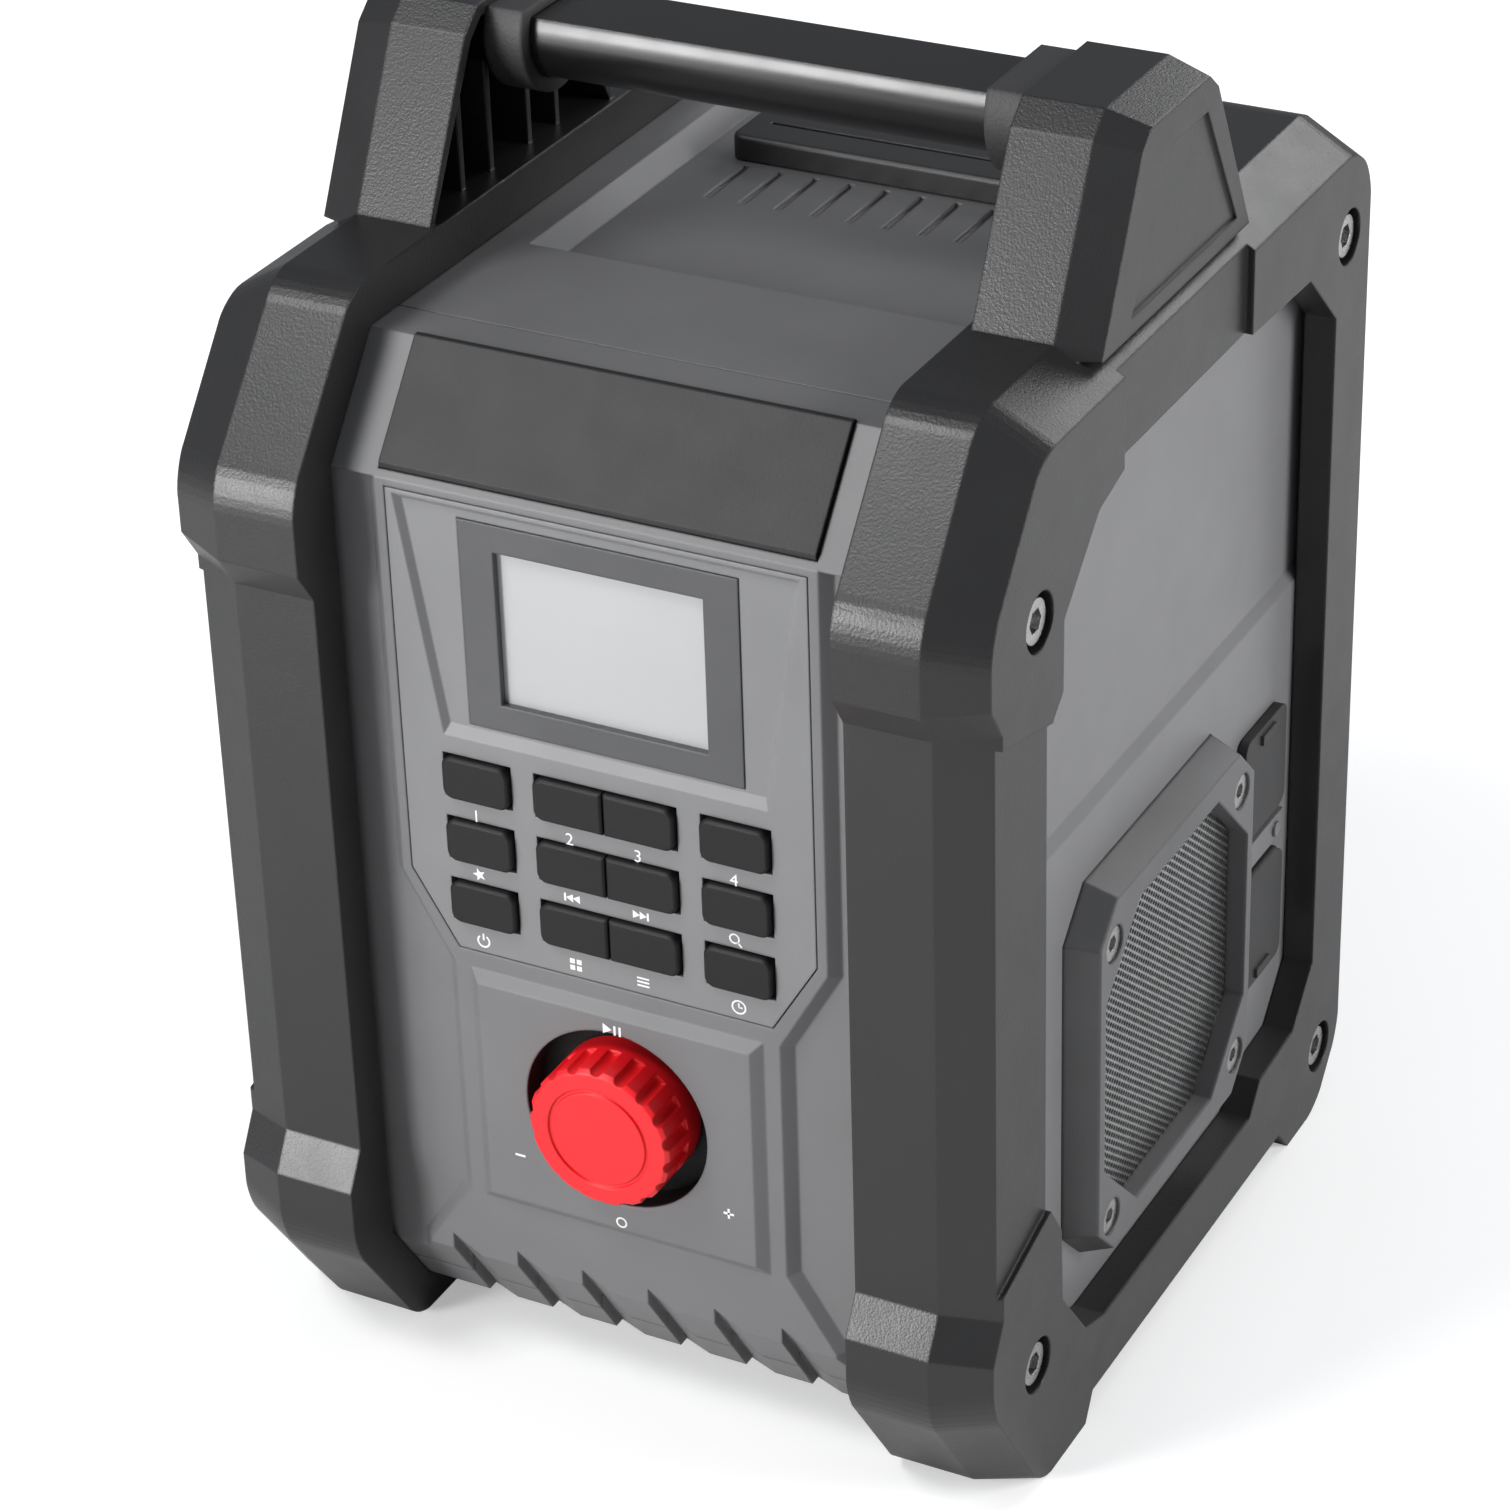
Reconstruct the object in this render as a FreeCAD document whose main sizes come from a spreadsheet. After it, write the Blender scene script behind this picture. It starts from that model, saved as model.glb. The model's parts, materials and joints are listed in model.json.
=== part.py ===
import FreeCAD, Part
import math, os

# Jobsite radio. Millimetres, +Z up, front towards -Y.
# Every depth below is counted from the front bumper plane and moved to the
# part's frame, whose origin is under the middle of the radio, by at().
os.makedirs("parts", exist_ok=True)
doc = FreeCAD.newDocument("jobsite_radio")
sheet = doc.addObject("Spreadsheet::Sheet", "sizes")

SIZES = [
    # overall
    ("depth", 216.0), ("half_width", 96.0), ("height", 307.0),
    ("fit_gap", 0.3), ("pin_gap", 0.15),
    # side cages
    ("cage_inner", 63.0), ("cage_wall", 3.0), ("bevel_side", 13.0), ("bevel_in", 5.5),
    ("bevel_top", 7.6), ("post_step", 5.3), ("post_side_step", 1.5), ("rail_side_step", 2.0),
    ("low_bend", 34.8), ("low_top", 51.0), ("post_foot", 60.2), ("post_head", 202.0),
    ("high_foot", 209.9), ("high_bend", 227.9), ("deck_front", 29.3), ("deck_top", 264.8),
    ("rear_bend", 250.5), ("rear_bend_run", 14.0), ("foot_lift", 7.0), ("front_foot_run", 24.0),
    ("front_foot_end", 55.0), ("rear_foot_run", 38.0), ("rear_foot_bend", 14.0),
    ("open_front", 35.5), ("open_bottom", 24.3), ("open_top", 237.3), ("open_rear", 25.0),
    # stanchions and handle
    ("stanchion_front", 62.0), ("stanchion_rear", 147.0), ("stanchion_shoulder_front", 82.5),
    ("stanchion_shoulder_rear", 127.0), ("stanchion_top_front", 88.5),
    ("stanchion_top_rear", 121.0), ("shoulder_drop", 5.0), ("stanchion_inner", 64.5),
    ("stanchion_outer", 93.0), ("stanchion_bevel_side", 10.0), ("stanchion_bevel_in", 3.0),
    ("rib_thickness", 1.8), ("handle_depth", 105.5), ("handle_drop", 8.7),
    ("handle_radius", 11.7), ("handle_flat", 4.9), ("handle_wall", 2.5),
    ("collar_radius", 15.2), ("collar_flat", 7.2), ("collar_inner_end", 55.0),
    # case
    ("body_half", 86.0), ("body_low_half", 88.0), ("body_wall", 2.8), ("floor_z", 10.0),
    ("ledge_z", 151.0), ("shell_top", 246.0), ("lid_top", 253.5), ("lid_front", 47.0),
    ("rear_inset", 13.0), ("rear_wall", 2.7),
    # fascia
    ("face_depth", 16.0), ("wing_step", 2.5), ("face_rim", 24.0), ("face_wall", 3.0),
    ("slope_foot", 229.0), ("slope_run", 19.5), ("chin_bend", 31.0), ("chin_run", 14.0),
    ("outline_half", 52.5), ("outline_slope", 2.6), ("outline_bend", 132.0), ("column_half", 40.5),
    ("column_top", 111.0), ("column_foot", 50.0), ("channel_width", 7.5),
    ("channel_pitch", 17.07), ("channel_depth", 2.4), ("channel_count", 6), ("channel_lead", 8.0),
    ("chin_wall", 6.7),
    # label plate
    ("label_half", 51.7), ("label_length", 29.9), ("label_thickness", 2.0), ("label_low", 2.2),
    # control panel, display and keys
    ("panel_half", 50.0), ("panel_top", 227.0), ("panel_bend", 133.5), ("panel_foot", 115.5),
    ("panel_foot_half", 39.0), ("panel_thickness", 3.0), ("recess_depth", 1.5),
    ("recess_top", 226.0), ("recess_foot", 169.5), ("recess_top_half", 48.5),
    ("recess_foot_half", 39.5), ("bezel_half", 33.4), ("bezel_foot", 172.8),
    ("bezel_head", 222.5), ("bezel_thickness", 1.8), ("window_half", 25.1),
    ("window_foot", 179.1), ("window_head", 216.0), ("glass_thickness", 1.2),
    ("module_thickness", 3.2), ("board_thickness", 1.6), ("key_width", 16.4),
    ("pair_key_width", 17.0), ("key_height", 10.3), ("key_proud", 1.7), ("key_travel", 0.8),
    ("key_flange", 1.35), ("key_flange_rim", 0.8), ("key_column", 31.6), ("pair_split", 0.4),
    ("key_row_top", 159.6), ("key_pitch", 15.8), ("mat_thickness", 1.2),
    # knob
    ("knob_z", 81.5), ("knob_radius", 17.6), ("knob_length", 15.4), ("knob_front", 5.5),
    ("cup_radius", 22.85), ("cup_depth", 8.0), ("cup_wall", 2.6), ("pad_half", 36.6),
    ("pad_foot", 49.2), ("pad_head", 110.8), ("pad_raise", 2.0), ("pad_bevel", 2.6),
    ("shaft_radius", 3.0), ("bush_radius", 4.6), ("encoder_size", 14.0),
    ("encoder_length", 7.0), ("flute_count", 18), ("flute_radius", 1.7),
    # speakers
    ("speaker_depth", 104.8), ("speaker_z", 86.0), ("grille_half", 40.6),
    ("grille_clip", 18.5), ("bezel_face_y", 43.5), ("bezel_face_z", 46.5),
    ("bezel_flare", 3.0), ("grille_bezel_height", 8.0), ("screw_square", 36.25),
    ("mesh_thickness", 0.8), ("mesh_sink", 5.0), ("mesh_hole", 3.4), ("mesh_pitch", 5.6),
    ("driver_radius", 35.0), ("driver_frame", 39.0), ("driver_frame_thickness", 2.5),
    ("driver_depth", 20.0), ("magnet_radius", 26.0), ("magnet_length", 12.0),
    ("driver_screw_y", 37.0), ("driver_screw_z", 20.0),
    # screws
    ("cage_screw_radius", 2.5), ("cage_head_radius", 5.0), ("cage_head_height", 4.0),
    ("cage_bore_radius", 6.7), ("cage_bore_depth", 5.0), ("small_screw_radius", 1.6),
    ("small_head_radius", 4.2), ("small_head_height", 2.2), ("small_bore_depth", 2.8),
    # battery bay, rear door and latch
    ("bay_half", 44.0), ("bay_foot", 66.0), ("bay_head", 230.0), ("bay_depth", 50.5),
    ("bay_wall", 2.5), ("rail_half", 24.0), ("rail_width", 6.0), ("rail_height", 8.0),
    ("door_half", 49.0), ("door_foot", 62.8), ("door_head", 255.0), ("door_thickness", 3.0),
    ("hinge_z", 58.5), ("hinge_radius", 3.1), ("hinge_pin_radius", 1.5),
    ("latch_half", 41.5), ("latch_rear_gap", 7.0), ("latch_width", 38.0),
    ("latch_height", 6.0), ("tongue_half", 20.0), ("tongue_thickness", 2.2),
    ("lid_recess_depth", 5.0), ("lid_recess_half", 54.0), ("lid_recess_front", 87.0),
    ("lid_recess_bevel", 4.0), ("slot_count", 9), ("slot_pitch", 9.0), ("slot_length", 20.0),
    ("slot_width", 1.8), ("slot_depth", 1.0), ("slot_front", 136.0),
    # port covers and jacks
    ("port_rear_gap", 21.0), ("port_width", 25.0), ("port_upper_foot", 97.0),
    ("port_upper_head", 124.0), ("port_lower_foot", 54.0), ("port_lower_head", 84.0),
    ("port_thickness", 2.3), ("clip_thickness", 2.0), ("aux_access", 3.6), ("aux_radius", 1.8),
    ("supply_access", 5.2), ("supply_radius", 2.8),
]
for row, (name, value) in enumerate(SIZES, start=1):
    sheet.set("A%d" % row, name)
    sheet.set("B%d" % row, repr(value))
    sheet.setAlias("B%d" % row, name)
doc.recompute()


def V(name):
    return float(sheet.get(name))


def at(y):
    """Depth behind the front bumper plane, in the part's frame."""
    return y - V("depth") / 2


# Plain shapes

def box(x0, x1, y0, y1, z0, z1):
    return Part.makeBox(x1 - x0, y1 - y0, z1 - z0, FreeCAD.Vector(x0, at(y0), z0))


def rod(x, y, z, radius, length, axis):
    return Part.makeCylinder(radius, length, FreeCAD.Vector(x, at(y), z), FreeCAD.Vector(*axis))


def ring(points):
    return Part.makePolygon(points + [points[0]])


def side_face(points, x):
    """Face in the plane at x from (depth, height) points."""
    return Part.Face(ring([FreeCAD.Vector(x, at(y), z) for y, z in points]))


def side_prism(points, x0, x1):
    return side_face(points, x0).extrude(FreeCAD.Vector(x1 - x0, 0, 0))


def front_prism(points, y0, y1):
    """Prism through the depth from (x, height) points."""
    face = Part.Face(ring([FreeCAD.Vector(x, at(y0), z) for x, z in points]))
    return face.extrude(FreeCAD.Vector(0, y1 - y0, 0))


def both(half_points):
    """Outline across the middle from its right half, listed top to bottom."""
    return half_points + [(-x, z) for x, z in reversed(half_points)]


def inset(points, amounts):
    """Move each edge of a closed outline inwards; amounts has one value per edge."""
    count = len(points)
    area = sum(points[i][0] * points[(i + 1) % count][1] - points[(i + 1) % count][0] * points[i][1]
               for i in range(count))
    sign = 1.0 if area > 0 else -1.0
    lines = []
    for i in range(count):
        (ay, az), (by, bz) = points[i], points[(i + 1) % count]
        length = math.hypot(by - ay, bz - az)
        ny, nz = -sign * (bz - az) / length, sign * (by - ay) / length
        lines.append((ny, nz, ny * ay + nz * az + amounts[i]))
    moved = []
    for i in range(count):
        a, b, c = lines[i - 1]
        d, e, f = lines[i]
        det = a * e - b * d
        moved.append(((c * e - b * f) / det, (a * f - c * d) / det))
    return moved


def solid_between(lower, upper):
    """Closed solid between two outlines of 3-D points with parallel edges."""
    faces = [Part.Face(ring(lower)), Part.Face(ring(upper))]
    for i in range(len(lower)):
        j = (i + 1) % len(lower)
        faces.append(Part.Face(ring([lower[i], lower[j], upper[j], upper[i]])))
    return Part.makeSolid(Part.makeShell(faces))


def side_frustum(points, x0, moved, x1):
    lower = [FreeCAD.Vector(x0, at(y), z) for y, z in points]
    upper = [FreeCAD.Vector(x1, at(y), z) for y, z in moved]
    solid = solid_between(lower, upper)
    return solid if solid.Volume > 0 else solid.reversed()


def front_frustum(points, y0, moved, y1):
    lower = [FreeCAD.Vector(x, at(y0), z) for x, z in points]
    upper = [FreeCAD.Vector(x, at(y1), z) for x, z in moved]
    solid = solid_between(lower, upper)
    return solid if solid.Volume > 0 else solid.reversed()


def mirrored(shape):
    return shape.mirror(FreeCAD.Vector(0, 0, 0), FreeCAD.Vector(1, 0, 0))


def fuse(shapes):
    result = shapes[0].fuse(shapes[1:]) if len(shapes) > 1 else shapes[0]
    return result.removeSplitter()


def feature(label, shape):
    item = doc.addObject("Part::Feature", label)
    item.Shape = shape
    return item


def export(label, item):
    shape = item.Shape
    if shape.isNull() or not shape.isValid() or not shape.Solids:
        raise RuntimeError(label + " has no valid solid")
    if "Invalid" in item.State or "Error" in item.State:
        raise RuntimeError(label + " did not compute")
    item.Label = label
    shape.exportStep("parts/%s.step" % label)
    NODES.append((label, len(shape.Solids), shape.Volume))


NODES = []

# Side cages

D, W = V("depth"), V("half_width")
REAR = D - V("rear_inset")
HANDLE_Z = V("height") - V("handle_drop")
LATCH_REAR = REAR - V("latch_rear_gap")
LATCH_FRONT = LATCH_REAR - V("latch_width")
BAY_FRONT = REAR - V("bay_depth")
PR, PT = REAR - V("port_rear_gap"), V("port_thickness")
PF = PR - V("port_width")
GAP = V("fit_gap")
WALL = V("cage_wall")
DECK = V("deck_top")


def cage_outline():
    return [
        (V("front_foot_run"), 0.0), (0.0, V("low_bend")), (0.0, V("low_top")),
        (V("post_step"), V("post_foot")), (V("post_step"), V("post_head")),
        (0.0, V("high_foot")), (0.0, V("high_bend")), (V("deck_front"), DECK),
        (D - V("rear_bend_run"), DECK), (D, V("rear_bend")), (D, V("rear_foot_bend")),
        (D - V("rear_bend_run") + 2.0, 0.0), (D - V("rear_foot_run"), 0.0),
        (D - V("rear_foot_run") - 6.0, V("foot_lift")),
        (V("front_foot_end") + 4.0, V("foot_lift")), (V("front_foot_end"), 0.0),
    ]


def cage_insets(front, top, bottom):
    return [front] * 7 + [top] + [front] * 3 + [bottom] * 5


def opening_outline():
    front, low, high, rear = V("open_front"), V("open_bottom"), V("open_top"), D - V("open_rear")
    return [
        (front, 71.8), (front + 5.5, 63.4), (front + 6.4, 43.9), (front + 19.1, low + 3.3),
        (front + 29.8, low), (rear - 39.0, low), (rear - 33.0, low + 7.5), (rear - 12.0, low + 9.0),
        (rear, low + 22.0), (rear, high - 17.5), (rear - 17.0, high - 1.2), (rear - 50.0, high),
        (front + 38.4, high), (front + 22.4, high - 4.6), (front + 5.1, high - 21.6),
        (front + 4.9, high - 38.2), (front, high - 42.5),
    ]


def case_outline():
    """Side outline of the case that the cages close on."""
    return [
        (V("face_depth") + V("chin_run"), V("floor_z")), (V("face_depth"), V("chin_bend")),
        (V("face_depth"), V("slope_foot")), (V("face_depth") + V("slope_run"), V("lid_top")),
        (REAR + V("rear_wall"), V("lid_top")), (REAR + V("rear_wall"), V("floor_z")),
    ]


CAGE_SCREWS = [(28.6, 220.9), (28.6, 35.0), (D - 18.5, 237.5), (D - 18.5, 18.0)]


def stanchion_outline(foot):
    low, high = V("height") - V("shoulder_drop"), V("height")
    return [
        (V("stanchion_front"), foot), (V("stanchion_shoulder_front"), low),
        (V("stanchion_top_front"), high), (V("stanchion_top_rear"), high),
        (V("stanchion_shoulder_rear"), low), (V("stanchion_rear"), foot),
    ]


def handle_profile(x0, x1, radius, flat):
    """Bar along X with a flat top, used for the tube, its bore and its collars."""
    y, z = V("handle_depth"), HANDLE_Z
    bar = rod(x0, y, z, radius, x1 - x0, (1, 0, 0))
    return bar.common(box(x0, x1, y - radius, y + radius, z - radius, z + flat))


def stanchion():
    foot = DECK - WALL
    outer = stanchion_outline(foot)
    bend = V("stanchion_outer") - V("stanchion_bevel_side")
    rim = V("stanchion_bevel_in")
    body = side_prism(outer, V("stanchion_inner"), bend)
    body = body.fuse(side_frustum(outer, bend, inset(outer, [rim] * 5 + [0.0]), V("stanchion_outer")))
    hollow = inset(stanchion_outline(DECK), [WALL] * 5 + [0.0])
    pocket = side_prism(hollow, V("stanchion_inner") - 1.0, bend)
    tight = inset(stanchion_outline(DECK), [WALL + rim] * 5 + [0.0])
    pocket = pocket.fuse(side_frustum(hollow, bend, tight, V("stanchion_outer") - WALL))
    body = body.cut(pocket)
    clear = handle_profile(V("stanchion_inner") - 1.0, V("half_width"), V("handle_radius") + V("pin_gap"),
                           V("handle_flat") + V("pin_gap"))
    for y in (84.5, 97.0, 114.0, 126.5):
        rib = box(V("stanchion_inner") + 4.0, V("stanchion_outer") - WALL, y - V("rib_thickness") / 2,
                  y + V("rib_thickness") / 2, DECK - 0.5, V("height"))
        rib = rib.common(pocket.fuse(box(0, W, y - 5, y + 5, DECK - 0.5, DECK + 0.5)))
        body = body.fuse(rib.cut(clear))
    return body


def side_panel_cut():
    """Shallow three-sided field on the outer face of a stanchion."""
    x = V("stanchion_outer")
    field = [(99.0, V("height") - 10.5), (119.0, V("height") - 10.5), (136.5, DECK + 0.8), (80.0, DECK + 0.8)]
    return side_prism(field, x - 0.8, x + 1.0)


def cage():
    outline = cage_outline()
    bend = W - V("bevel_side")
    rim = inset(outline, cage_insets(V("bevel_in"), V("bevel_top"), 0.0))
    body = side_prism(outline, V("cage_inner"), bend).fuse(side_frustum(outline, bend, rim, W))
    opening = opening_outline()
    body = body.cut(side_prism(opening, V("cage_inner") - 1, W + 1))
    case = inset(case_outline(), [-GAP] * 6)
    body = body.cut(side_prism(case, 0.0, V("body_low_half") + GAP))
    rim_open = inset(opening, [-WALL] * len(opening))
    hollow = side_prism(inset(outline, cage_insets(WALL, WALL, WALL)), V("cage_inner") + WALL, bend - 1)
    deep = inset(outline, cage_insets(WALL + V("bevel_in"), WALL + V("bevel_top"), WALL))
    hollow = hollow.fuse(side_prism(deep, bend - 2, W - WALL))
    hollow = hollow.cut(side_prism(rim_open, V("cage_inner"), W))
    bosses = []
    for y, z in CAGE_SCREWS:
        bosses.append(rod(V("body_low_half") + GAP, y, z, 9.0, W - WALL - V("body_low_half") - GAP, (1, 0, 0)))
    body = body.cut(hollow)
    skin = side_prism(inset(outline, cage_insets(2.0, 2.0, 2.0)), V("cage_inner"), W - 2)
    skin = skin.cut(side_prism(opening, V("cage_inner") - 1, W + 1))
    body = fuse([body] + [boss.common(skin) for boss in bosses])
    # the deck is closed under the stanchion, the post and the top rail stand back a little
    body = body.cut(side_prism([(-1, V("post_foot") + 1), (V("open_front") + 1, V("post_foot") + 12),
                                (V("open_front") + 1, V("post_head") - 8), (-1, V("post_head") + 1)],
                               W - V("post_side_step"), W + 1))
    body = body.cut(box(W - V("rail_side_step"), W + 1, V("stanchion_shoulder_front") - 12.0,
                        D - 76.0, V("open_top") - 8, DECK))
    body = fuse([body, stanchion()])
    body = body.cut(side_panel_cut())
    for y, z in CAGE_SCREWS:
        body = body.cut(rod(W - V("cage_bore_depth"), y, z, V("cage_bore_radius"), V("cage_bore_depth") + 1, (1, 0, 0)))
        body = body.cut(rod(60, y, z, V("cage_screw_radius") + V("pin_gap"), 40, (1, 0, 0)))
    return body


cage_shape = cage()
export("cage_right", feature("cage_right", cage_shape))
export("cage_left", feature("cage_left", mirrored(cage_shape)))

# Handle tube and collars

tube_end = V("stanchion_outer") - V("stanchion_bevel_side") - GAP
tube = handle_profile(-tube_end, tube_end, V("handle_radius"), V("handle_flat"))
bore = handle_profile(-tube_end, tube_end, V("handle_radius") - V("handle_wall"),
                      V("handle_flat") - V("handle_wall"))
export("handle_tube", feature("handle_tube", tube.cut(bore)))


def collar():
    x0, x1 = V("collar_inner_end"), V("stanchion_inner")
    sleeve = handle_profile(x0, x1, V("collar_radius"), V("collar_flat"))
    sleeve = sleeve.cut(handle_profile(x0 - 1, x1 + 1, V("handle_radius") + V("pin_gap"),
                                       V("handle_flat") + V("pin_gap")))
    return sleeve


export("handle_collar_right", feature("handle_collar_right", collar()))
export("handle_collar_left", feature("handle_collar_left", mirrored(collar())))

# Front fascia

FACE = V("face_depth")
BACK = FACE + V("wing_step") + 2.5      # rear of the front wall
INNER = V("body_half") - V("body_wall")
SLOPE_RISE = V("lid_top") - V("slope_foot")
SLOPE_LENGTH = math.hypot(V("slope_run"), SLOPE_RISE)


def slope_point(along, inwards):
    """Point on the sloping top of the fascia, from its foot."""
    uy, uz = V("slope_run") / SLOPE_LENGTH, SLOPE_RISE / SLOPE_LENGTH
    return (FACE + along * uy + inwards * uz, V("slope_foot") + along * uz - inwards * uy)


def chin_depth(z):
    share = (V("chin_bend") - z) / (V("chin_bend") - V("floor_z"))
    return FACE + share * V("chin_run")


def chin_height(y):
    return V("chin_bend") - (y - FACE) / V("chin_run") * (V("chin_bend") - V("floor_z"))


def slope_height(y, inwards):
    y0, z0 = slope_point(0, inwards)
    return z0 + (y - y0) * SLOPE_RISE / V("slope_run")


def slope_depth(z, inwards):
    y0, z0 = slope_point(0, inwards)
    return y0 + (z - z0) * V("slope_run") / SLOPE_RISE


RIM = V("face_rim")
TOP_IN = V("lid_top") - V("face_wall")


def outline_half_points():
    return both([(V("outline_half"), V("slope_foot") + 9.0), (V("outline_half"), V("outline_bend")),
                 (V("column_half"), V("column_top")), (V("column_half"), V("column_foot")),
                 (V("outline_half"), V("column_foot") - 18.0), (V("outline_half"), V("floor_z"))])


def panel_outline(grow):
    """Outline of the control panel, or of its pocket when grow is positive."""
    half = [(V("panel_half"), V("panel_top")), (V("panel_half"), V("panel_bend")),
            (V("panel_foot_half"), V("panel_foot"))]
    points = both(half)
    return inset(points, [-grow] * len(points))


def chin_channels():
    """Wedges that run down the chin, each with its steep side on the left."""
    rise = V("chin_bend") - V("floor_z")
    length = math.hypot(V("chin_run"), rise)
    down = (V("chin_run") / length, -rise / length)
    count, half = int(V("channel_count")), V("channel_width") / 2
    lead = V("channel_lead")
    channels = []
    for i in range(count):
        x = (i - (count - 1) / 2) * V("channel_pitch")
        section = []
        for across, deep in ((-half, -1.0), (-half, V("channel_depth")), (half, 0.0), (half, -1.0)):
            y = FACE - lead * down[0] - deep * down[1]
            z = V("chin_bend") - lead * down[1] + deep * down[0]
            section.append(FreeCAD.Vector(x + across, at(y), z))
        reach = length + 2 * lead
        channels.append(Part.Face(ring(section)).extrude(FreeCAD.Vector(0, reach * down[0], reach * down[1])))
    return channels


CHIN_CHANNELS = chin_channels()


def fascia():
    chin = V("chin_wall")
    outer = [(RIM, chin_height(RIM)), (FACE, V("chin_bend")), (FACE, V("slope_foot")),
             (FACE + V("slope_run"), V("lid_top")), (V("lid_front"), V("lid_top")),
             (V("lid_front"), V("shell_top")), (slope_depth(V("shell_top"), 6.4), V("shell_top")),
             (RIM, slope_height(RIM, 6.4))]
    body = side_prism(outer, -V("body_half"), V("body_half"))
    hollow = [(RIM + 1, chin_height(RIM + 1) + chin), (BACK, chin_height(BACK) + chin),
              (BACK, slope_height(BACK, V("face_wall"))), (slope_depth(TOP_IN, V("face_wall")), TOP_IN),
              (V("lid_front") - V("face_wall"), TOP_IN), (V("lid_front") - V("face_wall"), V("shell_top") - 1),
              (slope_depth(V("shell_top") - 1, 6.5), V("shell_top") - 1),
              (RIM + 1, slope_height(RIM + 1, 6.5))]
    body = body.cut(side_prism(hollow, -INNER, INNER))
    # the wings stand back behind a raised field with sloping sides
    step = FACE + V("wing_step")
    field = outline_half_points()
    foot = inset(field, [-V("outline_slope")] * len(field))
    wing = box(-W, W, FACE - 1, step, V("floor_z"), V("slope_foot"))
    raised = front_frustum(foot, step, field, FACE).fuse(front_prism(field, FACE - 1, FACE))
    body = body.cut(wing.cut(raised))
    # control panel pocket and the opening behind it
    body = body.cut(front_prism(panel_outline(GAP), FACE - 1, FACE + V("panel_thickness")))
    body = body.cut(front_prism(panel_outline(-1.8), FACE, BACK + 1))
    # raised pad and cup of the knob
    half, foot, head, bevel = V("pad_half"), V("pad_foot"), V("pad_head"), V("pad_bevel")
    pad = [(-half, foot), (half, foot), (half, head), (-half, head)]
    body = body.fuse(front_frustum(pad, FACE, inset(pad, [bevel] * 4), FACE - V("pad_raise")))
    rim = FACE - V("pad_raise")
    floor = rim + V("cup_depth")
    body = body.fuse(rod(0, BACK - 0.5, V("knob_z"), V("cup_radius") + V("cup_wall"),
                         floor + V("cup_wall") - BACK + 0.5, (0, 1, 0)))
    body = body.cut(rod(0, rim - 1, V("knob_z"), V("cup_radius"), V("cup_depth") + 1, (0, 1, 0)))
    body = body.cut(rod(0, rim, V("knob_z"), V("bush_radius") + V("pin_gap"), 30, (0, 1, 0)))
    for channel in CHIN_CHANNELS:
        body = body.cut(channel)
    # seat of the label plate on the slope
    low, high = V("label_low") - GAP, V("label_low") + V("label_length") + GAP
    seat = [slope_point(low, -1), slope_point(high, -1), slope_point(high, 0.8), slope_point(low, 0.8)]
    body = body.cut(side_prism(seat, -V("label_half") - GAP, V("label_half") + GAP))
    return body.removeSplitter()


fascia_shape = fascia()
export("front_fascia", feature("front_fascia", fascia_shape))

# Label plate

low, high = V("label_low"), V("label_low") + V("label_length")
top = 0.8 - V("label_thickness")
plate = [slope_point(low, 0.8), slope_point(high, 0.8), slope_point(high, top + 0.9),
         slope_point(high - 0.9, top), slope_point(low + 0.9, top), slope_point(low, top + 0.9)]
export("label_plate", feature("label_plate", side_prism(plate, -V("label_half"), V("label_half"))))

# Control panel, display, keys

KEYS = []
for row in range(3):
    z = V("key_row_top") - row * V("key_pitch")
    pair = V("pair_split") / 2 + V("pair_key_width") / 2
    KEYS += [(-V("key_column"), z, "single"), (-pair, z, "left"), (pair, z, "right"),
             (V("key_column"), z, "single")]


def panel():
    plate = front_prism(panel_outline(0.0), FACE, FACE + V("panel_thickness"))
    depth = V("recess_depth")
    front = both([(V("recess_top_half"), V("recess_top")), (V("recess_foot_half"), V("recess_foot"))])
    back = inset(front, [1.4, 2.4, 1.4, 1.4])
    plate = plate.cut(front_frustum(front, FACE - 0.01, back, FACE + depth))
    g = 0.15
    plate = plate.cut(box(-V("bezel_half") - g, V("bezel_half") + g, FACE, FACE + 9,
                          V("bezel_foot") - g, V("bezel_head") + g))
    for x, z, kind in KEYS:
        width = V("key_width") if kind == "single" else V("pair_key_width")
        x0, x1 = x - width / 2 - GAP, x + width / 2 + GAP
        plate = plate.cut(box(x0, x1, FACE - 1, FACE + 9, z - V("key_height") / 2 - GAP,
                              z + V("key_height") / 2 + GAP))
    board = FACE + V("panel_thickness") + V("glass_thickness") + V("module_thickness")
    for x, z in ((43.2, 205.0), (33.8, 120.0)):
        for side in (-1, 1):
            plate = plate.fuse(rod(side * x, FACE + V("panel_thickness") - 0.5, z, 1.7,
                                   board - FACE - V("panel_thickness") + 0.5, (0, 1, 0)))
    return plate.removeSplitter()


export("control_panel", feature("control_panel", panel()))


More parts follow.
